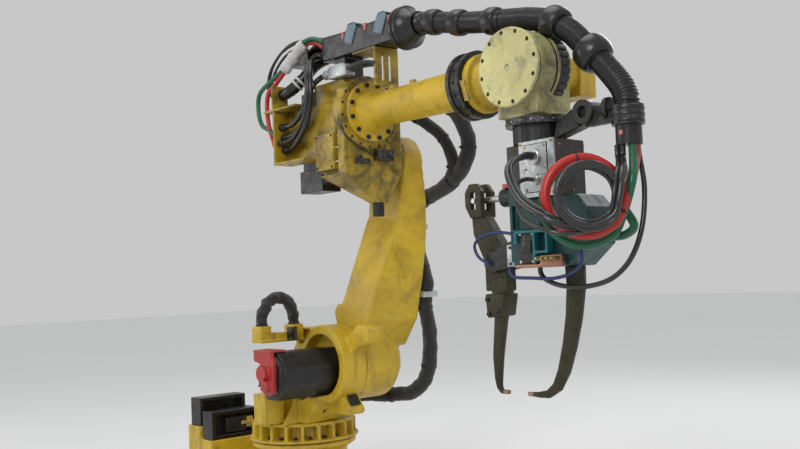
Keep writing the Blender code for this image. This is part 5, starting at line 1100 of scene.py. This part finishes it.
def cast(node, look, slot, grain, rounds, keep):
    """A copy of a CAD solid with the rounded edges and fillets of a casting."""
    source = frame["nodes"][node]
    shape = bmesh.new()
    shape.from_mesh(source.data)
    bmesh.ops.remove_doubles(shape, verts=shape.verts, dist=1e-5)
    mesh = bpy.data.meshes.new(f"{node}_cast")
    shape.to_mesh(mesh)
    shape.free()
    made = link(f"{node}_cast", mesh, LOOKS[look])
    remesh = made.modifiers.new("Skin", "REMESH")
    remesh.mode = "VOXEL"
    remesh.voxel_size = grain
    smooth = made.modifiers.new("Fillets", "SMOOTH")
    smooth.factor = 0.5
    smooth.iterations = rounds
    thin = made.modifiers.new("Thin", "DECIMATE")
    thin.ratio = keep
    bake(made)
    made.data.materials.clear()
    made.data.materials.append(LOOKS[look])
    made.data.shade_smooth()
    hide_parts(node)
    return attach(made, source["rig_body"])


def make_castings():
    for row in CASTINGS:
        cast(*row)


def make_wrist():
    """The round cover with its counterbored screws and plug, the seal behind it and the notched ring."""
    face, back = -0.17, -0.152
    profile = [(face, 0.158), (face + 0.0035, 0.1625), (back - 0.002, 0.1625), (back, 0.1605)]
    disc = turned("Y", (0, 0), profile, 96)
    mesh = bpy.data.meshes.new("cutters")
    spots = around("Y", (0, 0), 0.146, 12, 0, start=math.radians(9))
    cutters = [drum("Y", (point.x, point.z), 0.0095, (face - 0.01, face + 0.007), 20) for point, _ in spots]
    cutters.append(drum("Y", (0, 0), 0.013, (face - 0.01, face + 0.006), 24))
    shape = joined(cutters)
    bmesh.ops.recalc_face_normals(shape, faces=shape.faces)
    shape.to_mesh(mesh)
    shape.free()
    mesh.transform(PLACES["wrist"])
    cutter = link("cutters", mesh)
    made = piece("wrist_disc", disc, "wrist", "pale", ("wrist_cover",), ride=False)
    modifier = made.modifiers.new("Holes", "BOOLEAN")
    modifier.operation = "DIFFERENCE"
    modifier.solver = "EXACT"
    modifier.object = cutter
    bake(made)
    bpy.data.objects.remove(cutter)
    made.data.shade_smooth()
    made.data.set_sharp_from_angle(angle=SHARP_ANGLE)
    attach(made, "wrist")
    heads = [(point + Vector((0, face + 0.007, 0)), (0, -1, 0)) for point, _ in spots]
    fasteners("wrist_disc_screws", "wrist", heads, 0.0078, 0.0045)
    fasteners("wrist_disc_plug", "wrist", [((0, face + 0.006, 0), (0, -1, 0))], 0.01, 0.003, 8, 0.6, "bright")
    seals = []
    for low, high, radius in ((-0.151, -0.139, 0.1535), (-0.046, -0.033, 0.1545)):
        profile = [(low, 0.148), (low, radius), (high, radius), (high, 0.148)]
        seals.append(turned("Y", (0, 0), profile, 64, False))
    piece("wrist_seals", joined(seals), "wrist", "rubber", bevel=0.001)
    outline, hole, teeth, bore = [], [], 30, 0.15
    for tooth in range(teeth):
        for share, radius in (
            (-0.02, 0.1635), (0.22, 0.1645), (0.42, 0.1645), (0.64, 0.1635), (0.66, 0.158), (0.98, 0.158),
        ):
            angle = math.tau * (tooth + share) / teeth
            outline.append((radius * math.cos(angle), radius * math.sin(angle)))
            hole.append((bore * math.cos(angle), bore * math.sin(angle)))
    rows = [(-0.0205, hole), (-0.0205, outline), (0.0305, outline), (0.0305, hole)]
    ring = loft([[put("Y", along, *point) for point in points] for along, points in rows], closed=False)
    piece("wrist_notched_ring", ring, "wrist", "steel", sharp=25)


def make_forearm():
    """The forearm tube with its flanges, the wide bearing ring and the yellow tab across it."""
    start = 0.1765
    profile = [
        (start, 0.15), (start + 0.002, 0.152), (start + 0.02, 0.152), (start + 0.022, 0.15),
        (start + 0.022, 0.108), (start + 0.03, 0.1035), (start + 0.06, 0.094), (start + 0.078, 0.086),
        (start + 0.1, 0.084), (0.7, 0.0885), (0.812, 0.0925), (0.835, 0.098), (0.848, 0.105), (0.858, 0.114),
        (0.863, 0.122), (0.865, 0.1275), (0.888, 0.128), (0.89, 0.126),
    ]
    piece(
        "forearm_tube_skin", turned("X", (0, 0), profile, 80), "forearm", "yellow",
        ("forearm_tube",),
    )
    ring = [
        (0.8903, 0.134), (0.8903, 0.147), (0.893, 0.152), (0.9135, 0.152), (0.9155, 0.146), (0.9508, 0.146),
        (0.9528, 0.152), (0.972, 0.152), (0.9743, 0.148), (0.9743, 0.134),
    ]
    piece(
        "forearm_ring_skin", turned("X", (0, 0), ring, 80), "forearm", "black",
        ("forearm_ring",),
    )
    heads = around("X", (0, 0), 0.136, 12, start + 0.022, start=math.radians(15))
    fasteners("forearm_flange_screws", "forearm", heads, 0.0115, 0.01)
    heads = around("X", (0, 0), 0.146, 16, 0.933, outward=True)
    fasteners("forearm_ring_screws", "forearm", heads, 0.007, 0.005)
    heads = around("X", (0, 0.225), 0.1755, 18, 0.175, start=math.radians(8))
    fasteners("gear_ring_screws", "elbow", heads, 0.0065, 0.0013, 12, 0.5)
    tab = box((0.978, 1.004), (-0.1395, -0.13), (-0.045, 0.045))
    tab.transform(Matrix.Rotation(math.radians(18), 4, "X"))
    piece("neck_tab", tab, "forearm", "yellow", bevel=0.0015)
    lugs = [box(spread(along, 0.03), (-0.012, 0.012), (0.08, 0.106)) for along in (0.356, 0.513)]
    piece("tube_lugs", joined(lugs), "forearm", "yellow", bevel=0.003)


WALL_LANE = -0.2
WALL_HOSES = (
    # name, look, height on the cable wall, way from there through the wrap into the trough
    (
        "wall_hose_green", "hose_green", 0.172,
        (
            (-0.4561, -0.2, 0.2082), (-0.5242, -0.2, 0.2453), (-0.5556, -0.2, 0.3333), (-0.53, -0.2, 0.4237),
            (-0.3705, -0.2, 0.4834), (-0.262, -0.185, 0.535), (-0.205, -0.165, 0.598), (-0.165, -0.145, 0.64),
            (-0.125, -0.112, 0.65), (-0.088, -0.076, 0.62), (-0.07, -0.06, 0.585), (-0.06, -0.055, 0.57),
        ),
    ),
    (
        "wall_hose_red", "hose_red", 0.105,
        (
            (-0.4137, -0.2, 0.1425), (-0.4451, -0.2, 0.2066), (-0.4657, -0.2, 0.2918),
            (-0.4547, -0.2, 0.3999), (-0.3725, -0.2, 0.4458), (-0.255, -0.172, 0.548),
            (-0.203, -0.146, 0.606), (-0.17, -0.126, 0.632), (-0.138, -0.098, 0.632), (-0.108, -0.072, 0.605),
            (-0.085, -0.05, 0.575), (-0.07, -0.042, 0.565),
        ),
    ),
)


SHELF_CABLES = (
    (-0.3655, -0.155, 0.37), (-0.395, -0.155, 0.37), (-0.47, -0.156, 0.395), (-0.505, -0.156, 0.455),
    (-0.48, -0.152, 0.54), (-0.39, -0.145, 0.615), (-0.3, -0.125, 0.65), (-0.205, -0.095, 0.66),
    (-0.125, -0.062, 0.654), (-0.08, -0.045, 0.63), (-0.05, -0.04, 0.605),
)


def make_casing_fittings():
    """The trough's tail, bell, clips and flaps, and the connector, block and cables on the casing."""
    section = [(-0.085, 0.64), (-0.085, 0.552), (0.045, 0.552), (0.045, 0.64)]
    section += [(0.038, 0.64), (0.038, 0.56), (-0.078, 0.56), (-0.078, 0.64)]
    tail = [prism("X", section, (-0.415, -0.232)), box((-0.24, -0.0898), (0.038, 0.045), (0.575, 0.64))]
    piece("trough_tail", joined(tail), "elbow", "conduit", bevel=0.0015)
    bell = [
        (0.4803, 0.096), (0.485, 0.1045), (0.499, 0.1045), (0.503, 0.098), (0.511, 0.098), (0.515, 0.1035),
    ]
    bell += [(0.527, 0.1035), (0.533, 0.092), (0.556, 0.078), (0.58, 0.064), (0.6003, 0.06)]
    skin = turned("X", (-0.02, 0.58), bell, 64)
    piece("trough_bell_skin", skin, "elbow", "conduit", ("trough_bell",))
    housing = [(0.03, 0.402), (0.03, 0.452), (0.045, 0.466), (0.15, 0.466), (0.178, 0.45), (0.178, 0.402)]
    gland = [(-0.045, 0.016), (-0.03, 0.016), (-0.029, 0.024), (-0.008, 0.024), (-0.007, 0.02), (0.008, 0.02)]
    gland += [(0.009, 0.027), (0.031, 0.027)]
    shell = [prism("Y", housing, (-0.15, -0.088)), turned("X", (-0.118, 0.436), gland, 16)]
    piece("casing_connector", joined(shell), "elbow", "plate", bevel=0.003)
    leads = []
    for aside, over in ((-0.014, 0.006), (0.016, -0.004)):
        y, z = -0.118 + aside, 0.432 + over
        route = [(0.17, y, z), (0.2, y, z), (0.25, y + 0.008, z + 0.008), (0.3, y + 0.028, z + 0.008)]
        line = laid([*route, (0.33, y + 0.042, z), (0.342, y + 0.046, z)], steps=6)
        leads.append(tube(line, 0.0105, 14))
    piece("connector_leads", joined(leads), "elbow", "hose_grey", sharp=60)
    route = [(-0.04, -0.118, 0.436), (-0.065, -0.12, 0.434), (-0.1, -0.15, 0.395), (-0.105, -0.18, 0.32)]
    line = laid([*route, (-0.12, -0.186, 0.25), (-0.15, -0.184, 0.222)], steps=6)
    piece("connector_cable", tube(line, 0.014, 14), "elbow", "sheath", sharp=60)
    for name, look, z, way in WALL_HOSES:
        route = [(-0.3655, WALL_LANE, z), (-0.395, WALL_LANE, z), *way]
        line = laid(route)
        piece(name, tube(line, 0.0125, 14), "elbow", look, sharp=60)
    nuts = []
    for _, _, z, _ in WALL_HOSES:
        profile = [(-0.3649, 0.017), (-0.378, 0.017), (-0.379, 0.0145), (-0.393, 0.0145)]
        nuts.append(turned("X", (WALL_LANE, z), profile, 6))
    piece("wall_hose_nuts", joined(nuts), "elbow", "brass", bevel=0.001)
    route = [(-0.3, -0.196, 0.507), (-0.275, -0.186, 0.526), (-0.232, -0.168, 0.574), (-0.19, -0.148, 0.62)]
    line = laid([*route, (-0.178, -0.142, 0.628)], 0.005)
    cloth = tube(line, 0.035, 26, wrinkles(0.26, 0.02, 3))
    piece("white_wrap", cloth, "elbow", "wrap", sharp=50)
    band = strap(line, 0.22, 0.024, 0.008)
    piece("white_wrap_tie", band, "elbow", "wrap")
    lines = []
    for aside, over, reach in ((-0.01, 0.0, 0.0), (0.01, 0.012, 0.018), (0.004, -0.014, -0.02)):
        route = [(x, y + aside, z + over) for x, y, z in SHELF_CABLES[:2]]
        route += [(x - reach * 0.7, y + aside, z + over + reach * 0.3) for x, y, z in SHELF_CABLES[2:7]]
        route += [(x, y + aside, z + over * 0.3) for x, y, z in SHELF_CABLES[7:]]
        lines.append(tube(laid(route), 0.0072, 12))
    piece("shelf_cables", joined(lines), "elbow", "sheath", sharp=60)
    lines = []
    for y, radius in ((-0.066, 0.017), (-0.026, 0.021), (0.018, 0.018)):
        route = [(-0.4, y * 0.3, 0.59), (-0.37, y * 0.3, 0.592), (-0.24, y * 0.6, 0.628), (-0.12, y, 0.64)]
        route += [(0.06, y, 0.634), (0.25, y * 0.9, 0.637), (0.44, y, 0.634), (0.4795, y, 0.632)]
        lines.append(tube(laid(route, 0.01, 6), radius, 14))
    piece("trough_top_cables", joined(lines), "elbow", "conduit", sharp=60)
    rods = [drum("X", (-0.15, z), 0.004, (0.066, 0.14), 12) for z in (0.048, -0.022)]
    piece("cover_rods", joined(rods), "elbow", "bright")
    spots = [((x, -0.1603, z), (0, -1, 0)) for x in (-0.07, 0.055) for z in (-0.044, 0.114)]
    fasteners("side_cover_screws", "elbow", spots, 0.006, 0.003)
    clips, flaps = [], []
    for x, z in ((-0.403, 0.609), (-0.25, 0.611), (0.097, 0.604), (0.278, 0.61), (0.464, 0.607)):
        y = -0.0905 if x < 0 else -0.1005
        clips.append(box(spread(x, 0.014), (y, y + 0.02), (z, z + 0.036)))
    piece("trough_clips", joined(clips), "elbow", "clip", bevel=0.002)
    for x in (0.158, 0.396):
        outline = [
            (x - 0.052, 0.586), (x - 0.03, 0.64), (x - 0.012, 0.668), (x + 0.034, 0.672), (x + 0.05, 0.64),
            (x + 0.01, 0.56),
        ]
        flaps.append(prism("Y", outline, (-0.101, -0.093)))
        flaps.append(box((x - 0.012, x + 0.034), (-0.101, -0.04), (0.662, 0.67)))
    piece("trough_flaps", joined(flaps), "elbow", "bluegrey", bevel=0.002)
    blocks = [
        box((0.164, 0.186), (-0.101, -0.013), (-0.0386, -0.0127)),
        box((0.164, 0.18), (-0.09, -0.06), (-0.02, 0.004)),
    ]
    piece("casing_front_block", joined(blocks), "elbow", "black", bevel=0.003)
    cable = [(0.105, -0.16, 0.217), (0.14, -0.168, 0.16), (0.172, -0.1587, 0.0988), (0.175, -0.098, 0.0577)]
    cable += [(0.174, -0.0357, 0.0311), (0.172, 0.04, -0.003), (0.17, 0.06, 0.008)]
    line = laid(cable, 0.006)
    piece("casing_thin_cable", tube(line, 0.0048, 12), "elbow", "hose_grey", sharp=60)


GUN_LINES = (
    # name, look, radius, route
    (
        "gun_blue_ring", "hose_blue", 0.0065,
        (
            (-0.255, -0.0525, -0.575), (-0.257, -0.064, -0.574), (-0.3, -0.078, -0.545),
            (-0.322, -0.08, -0.495), (-0.285, -0.082, -0.462), (-0.209, -0.084, -0.446),
            (-0.14, -0.086, -0.448), (-0.074, -0.092, -0.464), (-0.04, -0.098, -0.5), (-0.028, -0.1, -0.51),
        ),
    ),
    (
        "gun_blue_low", "hose_blue", 0.0072,
        (
            (-0.14, -0.0525, -0.598), (-0.14, -0.062, -0.602), (-0.105, -0.074, -0.634),
            (-0.002, -0.078, -0.642), (0.11, -0.078, -0.646), (0.205, -0.08, -0.628), (0.262, -0.088, -0.59),
            (0.272, -0.098, -0.555), (0.27, -0.0955, -0.535), (0.27, -0.0852, -0.532),
        ),
    ),
    (
        "gun_black_low", "sheath", 0.01,
        (
            (0.458, 0.042, HOSE_START), (0.46, 0.042, HOSE_START - 0.03), (0.498, 0.01, -0.32),
            (0.505, -0.03, -0.47), (0.465, -0.055, -0.585), (0.38, -0.064, -0.655), (0.26, -0.066, -0.682),
            (0.14, -0.066, -0.676), (0.06, -0.064, -0.65), (0.03, -0.062, -0.62), (0.03, -0.062, -0.6002),
        ),
    ),
)


def make_gun_fittings():
    """The plate and connectors on the panel, the electrodes' tips, and the gun's blocks, hoses and screws."""
    x, z, face, lip = (0.033, 0.152), (-0.3, -0.11), -0.1345, 0.003
    edge = box((x[0] - lip, x[1] + lip), (-0.1312, -0.1295), (z[0] - lip, z[1] + lip))
    piece("panel_plate_edge", edge, "tool", "rubber")
    plate = box(x, (face, -0.1305), z)
    piece("panel_plate", plate, "tool", "plate", bevel=0.001)
    spots = [((px, face, pz), (0, -1, 0)) for px in (0.042, 0.143) for pz in (-0.291, -0.207, -0.119)]
    spots += [((px, -0.12 - 0.0102, pz), (0, -1, 0)) for px in (0.015, 0.176) for pz in (-0.309, -0.104)]
    spots += [((0.186, py, pz), (1, 0, 0)) for py, pz in ((-0.095, -0.118), (0.055, -0.118), (-0.02, -0.3))]
    fasteners("panel_screws", "tool", spots, 0.0055, 0.003, 12, 0.5, "brass")
    collars = []
    for pz, radius in ((-0.1618, 0.0335), (-0.2522, 0.0245)):
        profile = [(-0.134, radius), (-0.14, radius), (-0.1405, radius - 0.004), (-0.148, radius - 0.004)]
        profile += [(-0.1485, radius - 0.001), (-0.1545, radius - 0.001), (-0.1558, radius - 0.003)]
        collars.append(turned("Y", (0.096, pz), profile, 18))
    piece("panel_connectors", joined(collars), "tool", "bright", sharp=15)
    for name, look, radius, route in GUN_LINES:
        line = laid(route)
        piece(name, tube(line, radius, 14), "tool", look, sharp=60)
    block = [
        box((-0.032, 0.05), (-0.112, -0.0848), (-0.583, -0.455)),
        box((-0.02, 0.036), (-0.119, -0.11), (-0.54, -0.49)),
    ]
    piece("gun_front_block", joined(block), "tool", "steel", bevel=0.003)
    spots = [((px, -0.112, pz), (0, -1, 0)) for px in (-0.024, 0.042) for pz in (-0.575, -0.463)]
    fasteners("front_block_screws", "tool", spots, 0.0065, 0.004, 12, 0.5, "bright")
    studs = (0.092, 0.118, 0.144, 0.17)
    nuts = [drum("Y", (px, -0.566), 0.0095, (-0.146, -0.119), 6) for px in studs]
    nuts += [drum("Y", (px, -0.566), 0.0065, (-0.158, -0.14), 12) for px in studs]
    piece("shunt_fittings", joined(nuts), "tool", "brass", bevel=0.0008)
    boss = box((-0.19, -0.125), (-0.03, 0.03), (-0.257, -0.238))
    piece("cylinder_boss", boss, "tool", "red", bevel=0.003)
    plate = box((-0.152, -0.112), (-0.06, -0.0518), (-0.592, -0.5))
    piece("cheek_plate", plate, "tool", "plate", bevel=0.0015)
    spots = [((-0.132, -0.06, pz), (0, -1, 0)) for pz in (-0.58, -0.512)]
    fasteners("cheek_plate_screws", "tool", spots, 0.006, 0.004)
    collar_block = prism(
        "Y", [(-0.056, -0.136), (0.058, -0.136), (0.038, -0.232), (-0.048, -0.24)], (-0.047, 0.047),
    )
    piece("lever_socket_block", collar_block, "lever", "bronze", bevel=0.008)
    spots = [((px, -0.047, pz), (0, -1, 0)) for px, pz in ((-0.034, -0.222), (0.022, -0.214), (-0.04, -0.16))]
    fasteners("socket_block_screws", "lever", spots, 0.009, 0.007)
    for name, body, ends, pz in (
        ("lever_tip", "lever", (-0.0087, 0.0233), -0.557),
        ("fixed_tip", "tool", (-0.0897, -0.1217), -1.125),
    ):
        root, end = ends
        way = 1 if end > root else -1
        profile = [
            (root, 0.0098), (end - 0.008 * way, 0.0098), (end - 0.003 * way, 0.008),
            (end + 0.0003 * way, 0.0045),
        ]
        piece(name, turned("X", (0, pz), profile, 24), body, "copper")
    heads = around("Z", (0, 0), 0.132, 18, -0.002, outward=True)
    fasteners("flange_rim_screws", "tool", heads, 0.0036, 0.003, 12, 0.5, "bright")
    bands = []
    for low, high in ((-0.022, -0.01), (-0.044, -0.036), (-0.07, -0.058)):
        profile = [(low, 0.06), (low, 0.0636), (high, 0.0636), (high, 0.06)]
        bands.append(turned("Z", (0.449, 0), profile, 40, False))
    piece("conduit_clamp_bands", joined(bands), "tool", "conduit", bevel=0.001)
    tag = box((0.442, 0.458), (-0.053, -0.049), (-0.118, -0.1))
    piece("clamp_tag", tag, "tool", "clip", bevel=0.001)


def make_base_fittings():
    """The plug and latch of the front hood, and screws on the base, the turntable and the motor."""
    plug = [
        box((-0.45, -0.416), (-0.25, -0.12), (0.268, 0.352)),
        drum("X", (-0.185, 0.31), 0.024, (-0.42, -0.412), 20),
    ]
    piece("hood_plug", joined(plug), "base", "rubber", bevel=0.004)
    latch = [
        box((-0.45, -0.414), (-0.112, -0.072), (0.285, 0.345)),
        box((-0.424, -0.41), (-0.15, -0.072), (0.304, 0.324)),
    ]
    piece("hood_latch", joined(latch), "base", "yellow", bevel=0.003)
    corners = [(x, y) for x in (-0.3, 0.3) for y in (-0.19, 0.19)]
    corners += [(x, y) for x in (-0.19, 0.19) for y in (-0.3, 0.3)]
    feet = [((x, y, 0.035), (0, 0, 1)) for x, y in corners]
    fasteners("foot_bolts", "base", feet, 0.022, 0.016, 6, 0.01)
    pockets = around("Z", (0, 0), 0.25, 20, 0.278, start=math.tau / 40)
    fasteners("turntable_bolts", "column", pockets, 0.011, 0.012)
    end = [
        ((0.312 + x, -0.409, 0.64 + z), (0, -1, 0))
        for x, z in ((0.1, 0.055), (0.1, -0.055), (-0.095, -0.05))
    ]
    fasteners("motor_screws", "column", end, 0.006, 0.005)


class StageSettings(bpy.types.PropertyGroup):
    """Floor, backdrop and lamps."""

    floor_size: FloatProperty(name="Floor size", description="Side of the floor", default=60.0, unit="LENGTH")
    backdrop_grey: FloatProperty(
        name="Backdrop", description="Grey of the backdrop, as a share of white", default=0.575,
    )
    sky_strength: FloatProperty(name="Sky", description="Strength of the even light", default=0.8)
    key_power: FloatProperty(name="Key", description="Power of the main lamp", default=130.0, unit="POWER")
    fill_power: FloatProperty(name="Fill", description="Power of the side lamp", default=42.0, unit="POWER")
    rim_power: FloatProperty(name="Rim", description="Power of the rear lamp", default=75.0, unit="POWER")
    top_power: FloatProperty(name="Top", description="Power of the overhead lamp", default=48.0, unit="POWER")


class FinishSettings(bpy.types.PropertyGroup):
    """Paint and hose colours."""

    yellow: FloatVectorProperty(
        name="Robot yellow", description="Paint of the castings", default=(
            0.58, 0.385, 0.017,
        ), subtype="COLOR"
    )
    pale: FloatVectorProperty(
        name="Wrist yellow", description="Paint of the wrist drum", default=(0.6, 0.55, 0.24), subtype="COLOR"
    )
    red: FloatVectorProperty(
        name="Guard red", description="Paint of the motor's guard", default=(
            0.4, 0.028, 0.025,
        ), subtype="COLOR"
    )
    teal: FloatVectorProperty(
        name="Gun teal", description="Paint of the weld gun", default=(0.003, 0.042, 0.046), subtype="COLOR"
    )
    hose_red: FloatVectorProperty(
        name="Hose red", description="Sheath of the red hose", default=(0.42, 0.014, 0.01), subtype="COLOR"
    )


class HoseSettings(bpy.types.PropertyGroup):
    """The corrugated conduit."""

    conduit_radius: FloatProperty(
        name="Radius", description="Over the ribs", default=CONDUIT_RADIUS, unit="LENGTH",
    )
    rib_depth: FloatProperty(name="Rib depth", description="Depth of a groove", default=0.0055, unit="LENGTH")
    rib_pitch: FloatProperty(name="Rib pitch", description="From rib to rib", default=0.0125, unit="LENGTH")
    conduit_sides: IntProperty(name="Sides", description="Sides of the conduit's mesh", default=36)


class ROBOT_OT_looks(bpy.types.Operator):
    """Makes the materials."""

    bl_idname = "robot.looks"
    bl_label = "Finishes"

    def execute(self, context):
        make_looks(context.scene.robot_finishes)
        return {"FINISHED"}


class ROBOT_OT_camera(bpy.types.Operator):
    """Places the photograph's camera."""

    bl_idname = "robot.camera"
    bl_label = "Camera"

    def execute(self, context):
        make_camera()
        return {"FINISHED"}


class ROBOT_OT_gun_hoses(bpy.types.Operator):
    """Makes the hoses that coil beside the gun."""

    bl_idname = "robot.gun_hoses"
    bl_label = "Gun hoses"

    def execute(self, context):
        make_gun_hoses()
        return {"FINISHED"}


class ROBOT_OT_gun_fittings(bpy.types.Operator):
    """Makes the plates, connectors, blocks and screws on the weld gun."""

    bl_idname = "robot.gun_fittings"
    bl_label = "Gun fittings"

    def execute(self, context):
        make_gun_fittings()
        return {"FINISHED"}


class ROBOT_OT_sleeves(bpy.types.Operator):
    """Makes the cloth sleeves and their straps."""

    bl_idname = "robot.sleeves"
    bl_label = "Sleeves"

    def execute(self, context):
        make_sleeves()
        return {"FINISHED"}


class ROBOT_OT_casing_cables(bpy.types.Operator):
    """Makes the cables and hoses round the elbow casing."""

    bl_idname = "robot.casing_cables"
    bl_label = "Casing cables"

    def execute(self, context):
        make_casing_cables()
        return {"FINISHED"}


class ROBOT_OT_casing_fittings(bpy.types.Operator):
    """Makes the connector, loose cables and small parts of the elbow casing and its trough."""

    bl_idname = "robot.casing_fittings"
    bl_label = "Casing fittings"

    def execute(self, context):
        make_casing_fittings()
        return {"FINISHED"}


class ROBOT_OT_conduit(bpy.types.Operator):
    """Makes the corrugated conduit and its ball clamps."""

    bl_idname = "robot.conduit"
    bl_label = "Conduit"

    def execute(self, context):
        make_conduit(context.scene.robot_hoses)
        return {"FINISHED"}


class ROBOT_OT_castings(bpy.types.Operator):
    """Rounds the edges and fillets of the CAD castings."""

    bl_idname = "robot.castings"
    bl_label = "Castings"

    def execute(self, context):
        make_castings()
        return {"FINISHED"}


class ROBOT_OT_wrist(bpy.types.Operator):
    """Makes the wrist's cover, seals and notched ring."""

    bl_idname = "robot.wrist"
    bl_label = "Wrist"

    def execute(self, context):
        make_wrist()
        return {"FINISHED"}


class ROBOT_OT_forearm(bpy.types.Operator):
    """Makes the forearm's tube, ring and lugs."""

    bl_idname = "robot.forearm"
    bl_label = "Forearm"

    def execute(self, context):
        make_forearm()
        return {"FINISHED"}


class ROBOT_OT_base_fittings(bpy.types.Operator):
    """Makes the hood's plug and latch, and the screws of the base, the turntable and a motor."""

    bl_idname = "robot.base_fittings"
    bl_label = "Base fittings"

    def execute(self, context):
        make_base_fittings()
        return {"FINISHED"}


class ROBOT_OT_stage(bpy.types.Operator):
    """Makes the floor, the world and the lamps."""

    bl_idname = "robot.stage"
    bl_label = "Stage"

    def execute(self, context):
        make_stage(context.scene.robot_stage)
        return {"FINISHED"}


STEPS = (
    ROBOT_OT_looks,
    ROBOT_OT_camera,
    ROBOT_OT_castings,
    ROBOT_OT_forearm,
    ROBOT_OT_wrist,
    ROBOT_OT_conduit,
    ROBOT_OT_sleeves,
    ROBOT_OT_casing_cables,
    ROBOT_OT_casing_fittings,
    ROBOT_OT_gun_hoses,
    ROBOT_OT_gun_fittings,
    ROBOT_OT_base_fittings,
    ROBOT_OT_stage,
)


class ROBOT_PT_pieces(bpy.types.Panel):
    """Lists the pieces."""

    bl_label = "Welding robot"
    bl_idname = "ROBOT_PT_pieces"
    bl_space_type = "VIEW_3D"
    bl_region_type = "UI"
    bl_category = "Robot"

    def draw(self, context):
        for step in STEPS:
            self.layout.operator(step.bl_idname)
        for group in (context.scene.robot_stage, context.scene.robot_finishes, context.scene.robot_hoses):
            for key in group.__annotations__:
                self.layout.prop(group, key)


CLASSES = (StageSettings, FinishSettings, HoseSettings, *STEPS, ROBOT_PT_pieces)


def register():
    for item in CLASSES:
        bpy.utils.register_class(item)
    bpy.types.Scene.robot_stage = PointerProperty(type=StageSettings)
    bpy.types.Scene.robot_finishes = PointerProperty(type=FinishSettings)
    bpy.types.Scene.robot_hoses = PointerProperty(type=HoseSettings)


def unregister():
    del bpy.types.Scene.robot_stage
    del bpy.types.Scene.robot_finishes
    del bpy.types.Scene.robot_hoses
    for item in reversed(CLASSES):
        bpy.utils.unregister_class(item)


PLAIN_NODES = {
    "bump_pad": "rubber",
    "terminal_plug": "black",
    "arm_clamp_low": "plate",
    "arm_clamp_top": "plate",
    "casing_socket": "black",
    "casing_stop": "rubber",
    "tool_flange": "black",
    "conduit_clamp": "black",
    "connector_panel": "plate",
    "gun_cylinder": "steel",
    "gun_rod": "bright",
    "rod_pin": "bright",
}


def main():
    register()
    for step in STEPS:
        getattr(bpy.ops.robot, step.bl_idname.split(".")[1])()
    for node, look in PLAIN_NODES.items():
        frame["nodes"][node].data.materials.clear()
        frame["nodes"][node].data.materials.append(LOOKS[look])


if __name__ == "__main__":
    main()
